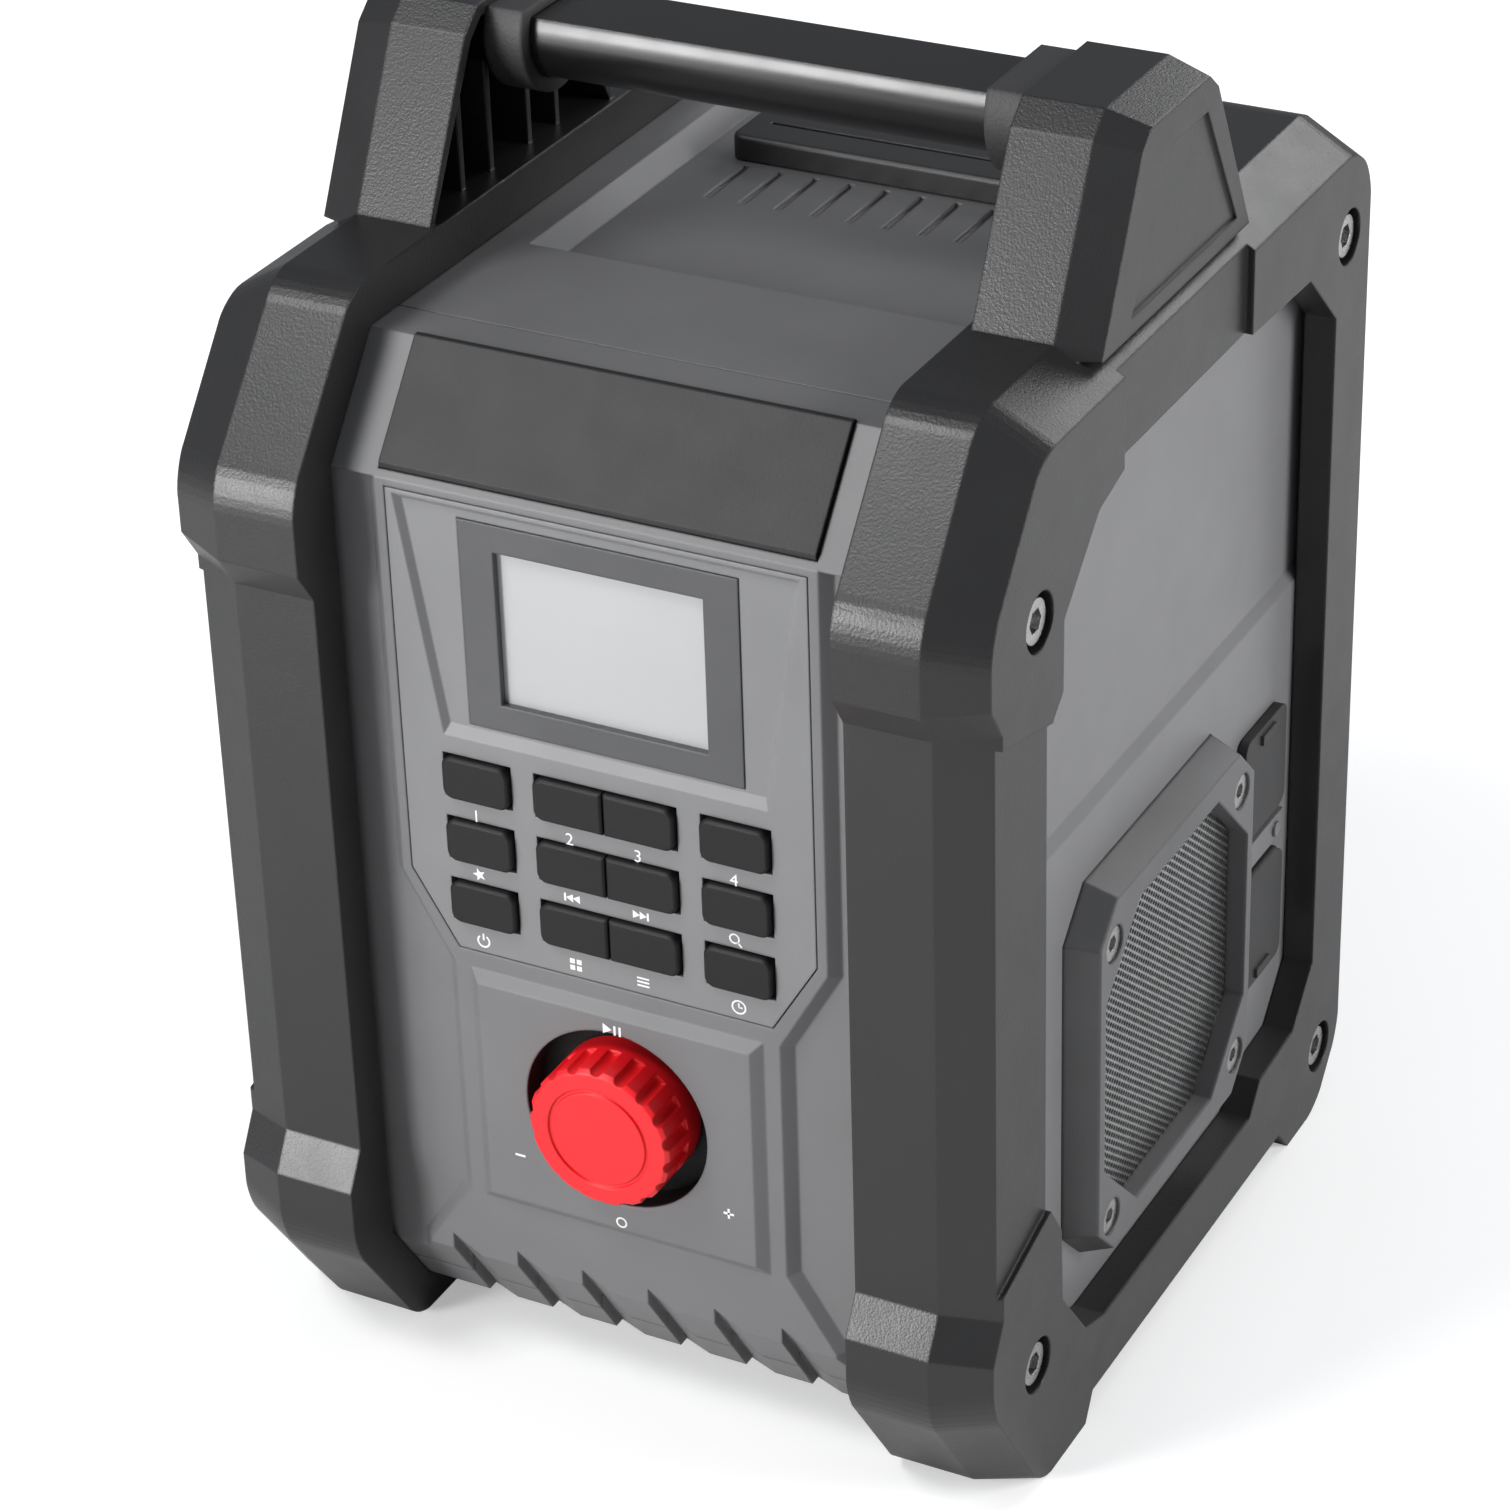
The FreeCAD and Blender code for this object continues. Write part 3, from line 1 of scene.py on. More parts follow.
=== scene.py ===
# %% [markdown]
# # A jobsite radio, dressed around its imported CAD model
# The CAD parts already have the right shape, size and place, so this script keeps them. It gives
# every part its finish, rounds the edges that the light catches, and adds what is too fine for
# the CAD model: the woven speaker guards, the printed marks and the texture of the mouldings.

# %% Load the frame
import json
import math

import bmesh
import bpy
from mathutils import Matrix, Vector


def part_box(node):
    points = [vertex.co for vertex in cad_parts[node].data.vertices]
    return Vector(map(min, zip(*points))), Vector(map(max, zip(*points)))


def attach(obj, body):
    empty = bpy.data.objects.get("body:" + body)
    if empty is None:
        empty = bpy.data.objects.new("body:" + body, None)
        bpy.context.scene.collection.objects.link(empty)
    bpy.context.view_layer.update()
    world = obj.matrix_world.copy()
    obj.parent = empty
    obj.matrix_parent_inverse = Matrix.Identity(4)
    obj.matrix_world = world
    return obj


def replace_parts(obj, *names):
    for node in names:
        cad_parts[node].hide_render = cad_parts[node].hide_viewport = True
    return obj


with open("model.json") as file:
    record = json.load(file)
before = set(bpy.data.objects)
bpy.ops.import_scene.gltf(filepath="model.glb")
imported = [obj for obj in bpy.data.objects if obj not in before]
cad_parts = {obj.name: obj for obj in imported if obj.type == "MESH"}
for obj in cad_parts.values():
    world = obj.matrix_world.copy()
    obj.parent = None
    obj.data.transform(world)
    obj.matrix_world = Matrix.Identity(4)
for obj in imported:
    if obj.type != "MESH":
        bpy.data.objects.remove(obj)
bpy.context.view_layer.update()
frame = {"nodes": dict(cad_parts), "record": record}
nodes = frame["nodes"]

# %% [markdown]
# The CAD source measures depth back from the front bumpers, in millimetres. One small helper
# turns such a place into the frame's metres, so the numbers here can be set against part.py.

# %% Places and sizes
MM = 0.001
HALF_DEPTH = 108.0
FACE = 16.0           # plane of the control panel, behind the bumpers
PAD_FACE = 14.0       # raised square round the knob


def place(x, y, z):
    """A point of the radio: x from the middle, y back from the bumpers, z up, in millimetres."""
    return Vector((x * MM, (y - HALF_DEPTH) * MM, z * MM))


# %% [markdown]
# A camera is fitted to the photograph: where it stands, how it is turned and how long its lens
# is were found from the radio's own corners. No lens shift is needed.

# %% Camera
CAMERA_PLACE = (0.4378, -0.8326, 0.6659)
CAMERA_TURN = (60.137, 1.607, 27.510)
LENS, SENSOR = 111.28, 36.0

camera_data = bpy.data.cameras.new("photo_camera")
camera_data.sensor_width = SENSOR
camera_data.lens = LENS
camera_data.clip_start = 0.01
camera = bpy.data.objects.new("photo_camera", camera_data)
camera.location = CAMERA_PLACE
camera.rotation_euler = [math.radians(a) for a in CAMERA_TURN]
bpy.context.scene.collection.objects.link(camera)
bpy.context.scene.camera = camera
bpy.context.scene.view_settings.view_transform = "Standard"
print("camera at", CAMERA_PLACE, "with a lens of", LENS, "mm")

# %% [markdown]
# Dark plastic shows its shape through broad reflections, so the lamps are large soft panels. One
# stands in front on the left, one on the right for the speaker side, and a weak one behind for
# the upper edges. A smaller one hangs high on the left for the tops, and a low one near the left
# front makes the panel brighter on its left than on its right, as it is in the photograph.

# %% Lamps
RADIO_MIDDLE = (0.0, 0.0, 0.15)


def soft_panel(name, spot, size, watts, aim=RADIO_MIDDLE):
    """A square lamp that points at the radio, in metres and watts."""
    lamp = bpy.data.lights.new(name, "AREA")
    lamp.shape = "RECTANGLE"
    lamp.size, lamp.size_y = size
    lamp.energy = watts
    holder = bpy.data.objects.new(name, lamp)
    holder.location = spot
    holder.rotation_euler = (Vector(aim) - Vector(spot)).to_track_quat("-Z", "Y").to_euler()
    bpy.context.scene.collection.objects.link(holder)
    return holder


soft_panel("lamp_front", (-0.66, -1.35, 0.55), (0.35, 0.55), 15.0)
soft_panel("lamp_right", (1.35, 0.25, 0.55), (0.4, 0.9), 18.0)
soft_panel("lamp_back", (0.35, 1.10, 0.90), (0.8, 0.4), 5.0)
soft_panel("lamp_top", (-0.52, -0.62, 1.20), (0.45, 0.35), 7.5)
soft_panel("lamp_low", (-0.62, -0.85, 0.22), (0.35, 0.25), 2.2)
print("lamps", [lamp.name for lamp in bpy.data.lights])

# %% [markdown]
# The room around the radio gives a weak, slightly cool light from all sides. The camera itself
# must see white behind the radio, and adding more light for that would wash the plastic out. So
# the world mixes two backgrounds: a dim one that lights, and a white one for camera rays alone.

# %% World
ROOM_COLOUR, ROOM_LEVEL = (0.9, 0.93, 1.0, 1.0), 0.24
WHITE, BACKDROP_LEVEL = (1.0, 1.0, 1.0, 1.0), 0.97

world = bpy.data.worlds.new("studio")
bpy.context.scene.world = world
world.use_nodes = True
tree = world.node_tree
tree.nodes.clear()
seen = tree.nodes.new("ShaderNodeLightPath")
room = tree.nodes.new("ShaderNodeBackground")
room.inputs["Color"].default_value = ROOM_COLOUR
room.inputs["Strength"].default_value = ROOM_LEVEL
backdrop = tree.nodes.new("ShaderNodeBackground")
backdrop.inputs["Color"].default_value = WHITE
backdrop.inputs["Strength"].default_value = BACKDROP_LEVEL
choose = tree.nodes.new("ShaderNodeMixShader")
out = tree.nodes.new("ShaderNodeOutputWorld")
tree.links.new(seen.outputs["Is Camera Ray"], choose.inputs[0])
tree.links.new(room.outputs[0], choose.inputs[1])
tree.links.new(backdrop.outputs[0], choose.inputs[2])
tree.links.new(choose.outputs[0], out.inputs["Surface"])
print("room light", ROOM_LEVEL, "backdrop", BACKDROP_LEVEL)

# %% [markdown]
# The radio stands on a sheet of white paper that reaches far past the view. The paper keeps the
# soft shadow close to the feet, and a glow that only the camera sees grows with the distance from
# the radio, so that the sheet melts into the white behind it.

# %% Floor
FLOOR_HALF = 4.0
PAPER_COLOUR = (0.80, 0.80, 0.80, 1.0)
GLOW_FADE = (("From Min", 0.3), ("From Max", 1.6), ("To Min", 0.36), ("To Max", 0.80))

floor_mesh = bpy.data.meshes.new("floor")
sheet = bmesh.new()
bmesh.ops.create_grid(sheet, x_segments=1, y_segments=1, size=FLOOR_HALF)
sheet.to_mesh(floor_mesh)
sheet.free()
floor = bpy.data.objects.new("floor", floor_mesh)
bpy.context.scene.collection.objects.link(floor)

paper = bpy.data.materials.new("studio_paper")
paper.use_nodes = True
tree = paper.node_tree
tree.nodes.clear()
matt = tree.nodes.new("ShaderNodeBsdfDiffuse")
matt.inputs["Color"].default_value = PAPER_COLOUR
glow = tree.nodes.new("ShaderNodeEmission")
glow.inputs["Color"].default_value = WHITE
seen = tree.nodes.new("ShaderNodeLightPath")
level = tree.nodes.new("ShaderNodeMath")
level.operation = "MULTIPLY"
spot = tree.nodes.new("ShaderNodeTexCoord")
distance = tree.nodes.new("ShaderNodeVectorMath")
distance.operation = "LENGTH"
fade = tree.nodes.new("ShaderNodeMapRange")
for socket, value in GLOW_FADE:
    fade.inputs[socket].default_value = value
tree.links.new(spot.outputs["Object"], distance.inputs[0])
tree.links.new(distance.outputs["Value"], fade.inputs["Value"])
tree.links.new(fade.outputs["Result"], level.inputs[1])
both = tree.nodes.new("ShaderNodeAddShader")
out = tree.nodes.new("ShaderNodeOutputMaterial")
tree.links.new(seen.outputs["Is Camera Ray"], level.inputs[0])
tree.links.new(level.outputs[0], glow.inputs["Strength"])
tree.links.new(matt.outputs[0], both.inputs[0])
tree.links.new(glow.outputs[0], both.inputs[1])
tree.links.new(both.outputs[0], out.inputs["Surface"])
floor_mesh.materials.append(paper)
print("floor is", 2 * FLOOR_HALF, "m wide")

# %% [markdown]
# Moulded plastic is never one flat colour. Its tone drifts a little over the part, its gloss is
# uneven, and the mould leaves a fine grain. A picture of plastic could be wrapped round each part,
# but it would need an unwrapped mesh and would show its seams. Three noise patterns read the
# place on the object instead. The Bevel node turns the light on the sharp edges of the CAD mesh,
# the way a mould's small radius does.

# %% A finish for moulded parts
RAMP_LOW, RAMP_HIGH = 0.3, 0.7      # the part of the noise that is stretched over the two tones
RUB_SCALE = 2.6                     # worn spots are this much finer than the drift of the tone
materials_before = len(bpy.data.materials)


def finish(name, colour, roughness, metallic=0.0, grain=1300.0, grain_depth=0.00005, drift=0.10,
           drift_scale=35.0, gloss_drift=0.05, edge=0.0006, specular=0.5):
    """A moulded, turned or painted surface with drifting tone, uneven gloss and grain."""
    material = bpy.data.materials.new(name)
    material.use_nodes = True
    tree = material.node_tree
    surface = tree.nodes["Principled BSDF"]
    surface.inputs["Metallic"].default_value = metallic
    surface.inputs["Specular IOR Level"].default_value = specular
    spot = tree.nodes.new("ShaderNodeTexCoord")

    tone = tree.nodes.new("ShaderNodeTexNoise")
    tone.inputs["Scale"].default_value = drift_scale
    tone.inputs["Detail"].default_value = 4.0
    shades = tree.nodes.new("ShaderNodeValToRGB")
    for stop, factor in zip(shades.color_ramp.elements, (1.0 - drift, 1.0 + drift)):
        stop.color = [min(1.0, c * factor) for c in colour] + [1.0]
    shades.color_ramp.elements[0].position = RAMP_LOW
    shades.color_ramp.elements[1].position = RAMP_HIGH
    tree.links.new(spot.outputs["Object"], tone.inputs["Vector"])
    tree.links.new(tone.outputs["Fac"], shades.inputs["Fac"])
    tree.links.new(shades.outputs["Color"], surface.inputs["Base Color"])

    rub = tree.nodes.new("ShaderNodeTexNoise")
    rub.inputs["Scale"].default_value = drift_scale * RUB_SCALE
    spread = tree.nodes.new("ShaderNodeMapRange")
    spread.inputs["To Min"].default_value = roughness - gloss_drift
    spread.inputs["To Max"].default_value = roughness + gloss_drift
    tree.links.new(spot.outputs["Object"], rub.inputs["Vector"])
    tree.links.new(rub.outputs["Fac"], spread.inputs["Value"])
    tree.links.new(spread.outputs["Result"], surface.inputs["Roughness"])

    skin = tree.nodes.new("ShaderNodeTexNoise")
    skin.inputs["Scale"].default_value = grain
    skin.inputs["Detail"].default_value = 2.0
    bump = tree.nodes.new("ShaderNodeBump")
    bump.inputs["Strength"].default_value = 1.0
    bump.inputs["Distance"].default_value = grain_depth
    tree.links.new(spot.outputs["Object"], skin.inputs["Vector"])
    tree.links.new(skin.outputs["Fac"], bump.inputs["Height"])
    tree.links.new(bump.outputs["Normal"], surface.inputs["Normal"])
    if edge:
        rounding = tree.nodes.new("ShaderNodeBevel")
        rounding.samples = 4
        rounding.inputs["Radius"].default_value = edge
        tree.links.new(rounding.outputs["Normal"], bump.inputs["Normal"])
    return material


# %% [markdown]
# The plastics and rubbers come first. The cages are nearly black with a coarse grain, the case and
# its panel are a mid grey with a fine one, and the rubber keys are the darkest and hardly shine.
# The tube of the handle is smooth paint, which is why it carries one long bright light.

# %% Plastic, rubber and paint
cage_skin = finish("cage_skin", (0.016, 0.016, 0.0165), 0.35, grain=1700.0,
                   grain_depth=0.00006, drift=0.06, edge=0.0008)
body_skin = finish("body_skin", (0.150, 0.150, 0.153), 0.42, grain=2600.0,
                   grain_depth=0.00002, drift=0.045, edge=0.0008)
panel_skin = finish("panel_skin", (0.190, 0.190, 0.193), 0.38, grain=3000.0,
                    grain_depth=0.00001, drift=0.045)
label_skin = finish("label_skin", (0.013, 0.013, 0.0135), 0.55, grain=1500.0,
                    grain_depth=0.00008)
bezel_skin = finish("bezel_skin", (0.072, 0.072, 0.074), 0.35, grain=3000.0,
                    grain_depth=0.00001)
guard_frame_skin = finish("guard_frame_skin", (0.082, 0.082, 0.084), 0.40, grain=2400.0,
                          grain_depth=0.00003, edge=0.0012)
latch_skin = finish("latch_skin", (0.018, 0.018, 0.0185), 0.42, grain=2400.0,
                    grain_depth=0.00002)
clip_skin = finish("clip_skin", (0.12, 0.12, 0.122), 0.42, grain=2400.0, grain_depth=0.00002)
key_skin = finish("key_skin", (0.006, 0.006, 0.0064), 0.50, grain=2200.0,
                  grain_depth=0.00003, specular=0.32)
cover_skin = finish("cover_skin", (0.022, 0.022, 0.023), 0.60, grain=1800.0,
                    grain_depth=0.00004)
collar_skin = finish("collar_skin", (0.030, 0.030, 0.031), 0.55, grain=1300.0,
                     grain_depth=0.00010, edge=0.0016)
tube_paint = finish("tube_paint", (0.008, 0.008, 0.0085), 0.24, grain=700.0,
                    grain_depth=0.000002, edge=0.0012)
mark_ink = finish("mark_ink", (0.80, 0.80, 0.80), 0.55, grain=3000.0,
                  grain_depth=0.000004, drift=0.03, edge=0.0)
knob_skin = finish("knob_skin", (0.85, 0.010, 0.016), 0.36, grain=2600.0,
                   grain_depth=0.00002, drift=0.05, edge=0.0008)
print("made", len(bpy.data.materials) - materials_before, "plastics, rubbers and paints")

# %% [markdown]
# The screws and the guards are steel, so their metallic value is 1 and their colour is that of
# their reflections. What lies inside, behind the guards and in the battery bay, only needs plain
# dark finishes, with green for the boards and brass for the contacts.

# %% Metal and the inside
screw_steel = finish("screw_steel", (0.46, 0.46, 0.45), 0.28, metallic=1.0, grain=3000.0,
                     grain_depth=0.00002, drift=0.12, drift_scale=400.0, edge=0.0004)
guard_steel = finish("guard_steel", (0.42, 0.42, 0.42), 0.34, metallic=1.0, grain=3000.0,
                     grain_depth=0.00002, drift=0.15, drift_scale=500.0, edge=0.0)
inner_black = finish("inner_black", (0.008, 0.008, 0.008), 0.7)
board_green = finish("board_green", (0.015, 0.07, 0.03), 0.4)
contact_brass = finish("contact_brass", (0.6, 0.42, 0.16), 0.3, metallic=1.0)
cone_paper = finish("cone_paper", (0.012, 0.012, 0.012), 0.8, grain=900.0,
                    grain_depth=0.00010)
print("made", len(bpy.data.materials) - materials_before, "finishes in all")

# %% [markdown]
# The display is off, and its pane is a pale grey sheet with a clear gloss. Real glass over a dark
# module would show black here, so the pane is an opaque surface that only shines like glass.

# %% Display pane
pane = finish("display_pane", (0.42, 0.425, 0.425), 0.10, grain=60.0, grain_depth=0.000002,
              drift=0.03, drift_scale=20.0, gloss_drift=0.02, edge=0.0)
print("made", pane.name)

# %% [markdown]
# The record names a material slot for every CAD part, so one table from slot to finish dresses
# the whole radio. A few parts share a slot with others that look different, and they get their own
# finish by name: the two port covers, the latch on the lid and the panel round the display.

# %% Which part takes which finish
FINISH_OF = {
    "cage_plastic": cage_skin, "collar_rubber": collar_skin, "handle_black": tube_paint,
    "body_grey": body_skin, "label_black": label_skin, "bezel_grey": bezel_skin,
    "display_pane": pane, "inner_black": inner_black, "board_green": board_green,
    "key_rubber": key_skin, "knob_red": knob_skin, "shaft_steel": screw_steel,
    "latch_black": guard_frame_skin, "mesh_steel": guard_steel, "gasket_foam": inner_black,
    "driver_steel": inner_black, "cone_paper": cone_paper, "screw_steel": screw_steel,
    "clip_grey": clip_skin, "contact_brass": contact_brass,
}
for piece in frame["record"]["subparts"]:
    part = nodes[piece["node"]]
    part.data.materials.clear()
    part.data.materials.append(FINISH_OF[piece["material_slot"]])
for name, skin in (("port_cover_upper", cover_skin), ("port_cover_lower", cover_skin),
                   ("top_latch", latch_skin), ("control_panel", panel_skin)):
    nodes[name].data.materials[0] = skin
print("finished", len(nodes), "CAD parts")

# %% [markdown]
# The cages are thick mouldings, and their bends carry the brightest lights in the photograph.
# The shading trick of the finish is too small for these, and a Bevel modifier would also round
# the screw holes and the ribs. So a merged copy of the CAD mesh gets only its long outer bends
# rounded with the bevel operator. This first cell holds the two tools for it.

# %% Tools for rounding a copy of a CAD part
MERGE_DISTANCE = 0.002 * MM
FLAT_ANGLE = math.radians(0.6)      # triangles that meet flatter than this become one face


def merged_copy(node):
    """The CAD node's mesh as a bmesh, with its loose triangles joined into whole faces."""
    sheet = bmesh.new()
    sheet.from_mesh(nodes[node].data)
    bmesh.ops.remove_doubles(sheet, verts=sheet.verts[:], dist=MERGE_DISTANCE)
    bmesh.ops.dissolve_limit(sheet, angle_limit=FLAT_ANGLE, use_dissolve_boundaries=False,
                             verts=sheet.verts[:], edges=sheet.edges[:])
    return sheet


def round_bends(sheet, radius, segments, picked):
    """Bevels the picked edges of a bmesh and says how many there are."""
    edges = [edge for edge in sheet.edges if edge.is_manifold and edge.is_convex and picked(edge)]
    bmesh.ops.bevel(sheet, geom=edges, offset=radius, offset_type="OFFSET", segments=segments,
                    profile=0.5, affect="EDGES", clamp_overlap=True, material=-1)
    return len(edges)


# %% [markdown]
# Which edges are bends? Seen from the side, the outline of a cage turns at eight main corners, and
# the edges that run across the cage from them get a wide radius. The other long outer edges get a
# small one. Short edges belong to screw holes and ribs and are left alone.

# %% Picking the bends
MAIN_CORNERS = [(0.0, 227.9), (29.3, 264.8), (0.0, 34.8), (202.0, 264.8), (216.0, 250.5),
                (24.0, 0.0), (204.0, 0.0), (216.0, 14.0)]   # back from the bumpers, up
SHORTEST_MAIN, SHORTEST_OTHER = 3.0 * MM, 6.5 * MM
ACROSS = 0.45                       # share of its length that a main bend runs across the cage
NEAR_END, FAR_END = 1.0, 10.0       # how far its ends may lie from a main corner
GENTLEST, SHARPEST = 12.0, 100.0    # degrees by which the other bends turn
CAGE_INNER_SIDE = 62.0 * MM


def big_bend(edge):
    """An edge that runs across a cage from one of its main corners, seen from the side."""
    ends = [vert.co for vert in edge.verts]
    length = edge.calc_length()
    if length < SHORTEST_MAIN or abs(ends[0].x - ends[1].x) < ACROSS * length:
        return False
    for y, z in MAIN_CORNERS:
        away = sorted(math.hypot(end.y / MM + HALF_DEPTH - y, end.z / MM - z) for end in ends)
        if away[0] < NEAR_END and away[1] < FAR_END:
            return True
    return False


def cage_bend(edge):
    """Long outer bends of a cage, away from the screws."""
    turn = math.degrees(edge.calc_face_angle(0.0))
    if edge.calc_length() < SHORTEST_OTHER or not GENTLEST < turn < SHARPEST:
        return False
    spot = (edge.verts[0].co + edge.verts[1].co) / 2
    outward = sum((face.normal for face in edge.link_faces), Vector())
    inside = Vector((spot.x, RADIO_MIDDLE[1], RADIO_MIDDLE[2])) - spot
    return abs(spot.x) > CAGE_INNER_SIDE and outward.dot(inside) < 0.0


print("main corners of a cage", len(MAIN_CORNERS))

# %% [markdown]
# The rounded copies take the place of the CAD cages. Both ride on the case, as the cages do.

# %% Rounded cages
MAIN_RADIUS, MAIN_SEGMENTS = 6.0 * MM, 6
OTHER_RADIUS, OTHER_SEGMENTS = 1.3 * MM, 3

for side in ("right", "left"):
    sheet = merged_copy("cage_" + side)
    print("cage", side, "main bends", round_bends(sheet, MAIN_RADIUS, MAIN_SEGMENTS, big_bend),
          "others", round_bends(sheet, OTHER_RADIUS, OTHER_SEGMENTS, cage_bend))
    bmesh.ops.recalc_face_normals(sheet, faces=sheet.faces[:])
    mesh = bpy.data.meshes.new("cage_moulding_" + side)
    sheet.to_mesh(mesh)
    sheet.free()
    mesh.materials.append(cage_skin)
    moulding = bpy.data.objects.new("cage_moulding_" + side, mesh)
    bpy.context.scene.collection.objects.link(moulding)
    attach(moulding, "case")
    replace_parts(moulding, "cage_" + side)
    print(moulding.name, len(mesh.polygons), "faces")

# %% [markdown]
# The speaker guards are steel sheet with a fine pattern of staggered holes, 2.6 mm apart along a
# row and 1.05 mm from row to row. Here one diamond-shaped cell with a round hole is copied over
# the whole opening, the copies are joined, and eight planes trim the sheet to the octagon of the
# frame. A picture of holes with see-through gaps would be lighter, but it has no thickness when
# seen from the side.

# %% Perforated sheet
STAND = Matrix.Rotation(math.radians(90.0), 4, "X")       # stands a flat drawing up
HOLE_PITCH, ROW_PITCH, HOLE_SHARE = 2.6 * MM, 1.05 * MM, 0.60
GUARD_THICKNESS = 0.5 * MM
JOIN_DISTANCE = 0.02 * MM


def copy_along(sheet, step, times):
    """Repeats all that is in the sheet, one step further each time."""
    first = sheet.verts[:] + sheet.edges[:] + sheet.faces[:]
    for i in range(1, times):
        made = bmesh.ops.duplicate(sheet, geom=first)["geom"]
        corners = [v for v in made if isinstance(v, bmesh.types.BMVert)]
        bmesh.ops.translate(sheet, verts=corners, vec=step * i)


def guard_sheet(half, clip):
    """A flat perforated octagon in the XY plane, round the origin."""
    sheet = bmesh.new()
    stretch = Matrix.Diagonal((HOLE_PITCH / 2, ROW_PITCH, 1.0, 1.0))
    bmesh.ops.create_circle(sheet, segments=4, radius=1.0, matrix=stretch)
    bmesh.ops.subdivide_edges(sheet, edges=sheet.edges[:], cuts=1)
    bmesh.ops.create_circle(sheet, segments=8, radius=HOLE_SHARE, matrix=stretch)
    bmesh.ops.bridge_loops(sheet, edges=sheet.edges[:])
    copy_along(sheet, Vector((HOLE_PITCH / 2, ROW_PITCH, 0.0)), 2)
    columns, rows = int(2 * half / HOLE_PITCH) + 3, int(half / ROW_PITCH) + 3
    copy_along(sheet, Vector((HOLE_PITCH, 0.0, 0.0)), columns)
    copy_along(sheet, Vector((0.0, 2 * ROW_PITCH, 0.0)), rows)
    middle = Vector(((columns - 0.5) * HOLE_PITCH / 2, (rows - 0.5) * ROW_PITCH, 0.0))
    bmesh.ops.translate(sheet, verts=sheet.verts[:], vec=-middle)
    bmesh.ops.remove_doubles(sheet, verts=sheet.verts[:], dist=JOIN_DISTANCE)
    for i in range(8):
        way = Vector((math.cos(i * math.pi / 4), math.sin(i * math.pi / 4), 0.0))
        reach = half if i % 2 == 0 else (2 * half - clip) / math.sqrt(2.0)
        bmesh.ops.bisect_plane(sheet, geom=sheet.verts[:] + sheet.edges[:] + sheet.faces[:],
                               plane_co=way * reach, plane_no=way, clear_outer=True)
    bmesh.ops.recalc_face_normals(sheet, faces=sheet.faces[:])
    bmesh.ops.solidify(sheet, geom=sheet.faces[:], thickness=GUARD_THICKNESS)
    return sheet


# %% [markdown]
# Each new piece becomes an object of its own, with its place in its mesh, and rides on a body with
# its finish. The guards hang in the frames of the speakers.

# %% Speaker guards
EDGE_ROOM, CORNER_CUT = 0.1 * MM, 19.1 * MM


def add_piece(name, sheet, skin, body):
    """Turns a bmesh into a named piece that rides on a body."""
    mesh = bpy.data.meshes.new(name)
    sheet.to_mesh(mesh)
    sheet.free()
    mesh.materials.append(skin)
    piece = bpy.data.objects.new(name, mesh)
    bpy.context.scene.collection.objects.link(piece)
    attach(piece, body)
    print(name, len(mesh.polygons), "faces")
    return piece


for side, turn in (("right", 90.0), ("left", -90.0)):
    low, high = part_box("speaker_mesh_" + side)
    middle = (low + high) / 2
    sheet = guard_sheet((high.y - low.y) / 2 - EDGE_ROOM, CORNER_CUT)
    upright = Matrix.Rotation(math.radians(turn), 4, "Z") @ STAND
    bmesh.ops.transform(sheet, matrix=Matrix.Translation(middle) @ upright, verts=sheet.verts[:])
    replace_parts(add_piece("speaker_guard_" + side, sheet, guard_steel, "case"),
                "speaker_mesh_" + side)

# %% [markdown]
# The knob turns in a round cup, whose inside lies in deep shade. A thin black ring and floor just
# inside the cup of the CAD fascia paint that shade, with a hole in the floor for the shaft. The
# pushed knob comes within a fraction of a millimetre of the floor, so the sheet is only a skin.

# %% Painted shade in the cup
KNOB_HEIGHT, CUP_DEPTH, CUP_SIDES = 81.5, 8.0, 96
CUP_RADIUS, SHAFT_HOLE = 22.85, 5.2
SHADE_SHEET_ROOM, SHADE_SHEET_THICKNESS = 0.07, 0.03    # room to the cup, and thickness
LIP = 0.35                          # how far the ring stays below the raised square

# A black sheet of painted shade, laid inside the cup where the real cup is only in shadow.
shade_sheet = bmesh.new()
rings = []
ring_radius, floor_depth = CUP_RADIUS - SHADE_SHEET_ROOM, PAD_FACE + CUP_DEPTH - SHADE_SHEET_ROOM
for radius, depth in ((ring_radius, PAD_FACE + LIP), (ring_radius, floor_depth),
                      (SHAFT_HOLE, floor_depth)):
    upright = Matrix.Translation(place(0, depth, KNOB_HEIGHT)) @ STAND
    verts = bmesh.ops.create_circle(shade_sheet, segments=CUP_SIDES, radius=radius * MM,
                                    matrix=upright)["verts"]
    rings.append(list({edge for vert in verts for edge in vert.link_edges}))
bmesh.ops.bridge_loops(shade_sheet, edges=rings[0] + rings[1])
bmesh.ops.bridge_loops(shade_sheet, edges=rings[1] + rings[2])
bmesh.ops.recalc_face_normals(shade_sheet, faces=shade_sheet.faces[:])
bmesh.ops.solidify(shade_sheet, geom=shade_sheet.faces[:], thickness=SHADE_SHEET_THICKNESS * MM)
add_piece("cup_painted_shade", shade_sheet, key_skin, "case")

# %% [markdown]
# The marks beside the keys and the knob are white ink. They could be painted in a picture, but a
# small mark needs a large picture to stay sharp, so each is a thin flat shape. They are drawn on
# their side with three simple pens: a dab (a filled disc or triangle), a bar and a hoop.

# %% Pens for the marks
UNIT_GRID = 0.5                     # a grid of this size is one unit wide
DISC_SIDES, HOOP_SIDES = 24, 36


def spot_matrix(x, y, turn=0.0, wide=1.0, high=1.0):
    """Moves, turns and stretches a unit shape on the flat drawing, in millimetres."""
    move = Matrix.Translation((x * MM, y * MM, 0.0))
    stretch = Matrix.Diagonal((wide * MM, high * MM, 1.0, 1.0))
    return move @ Matrix.Rotation(math.radians(turn), 4, "Z") @ stretch


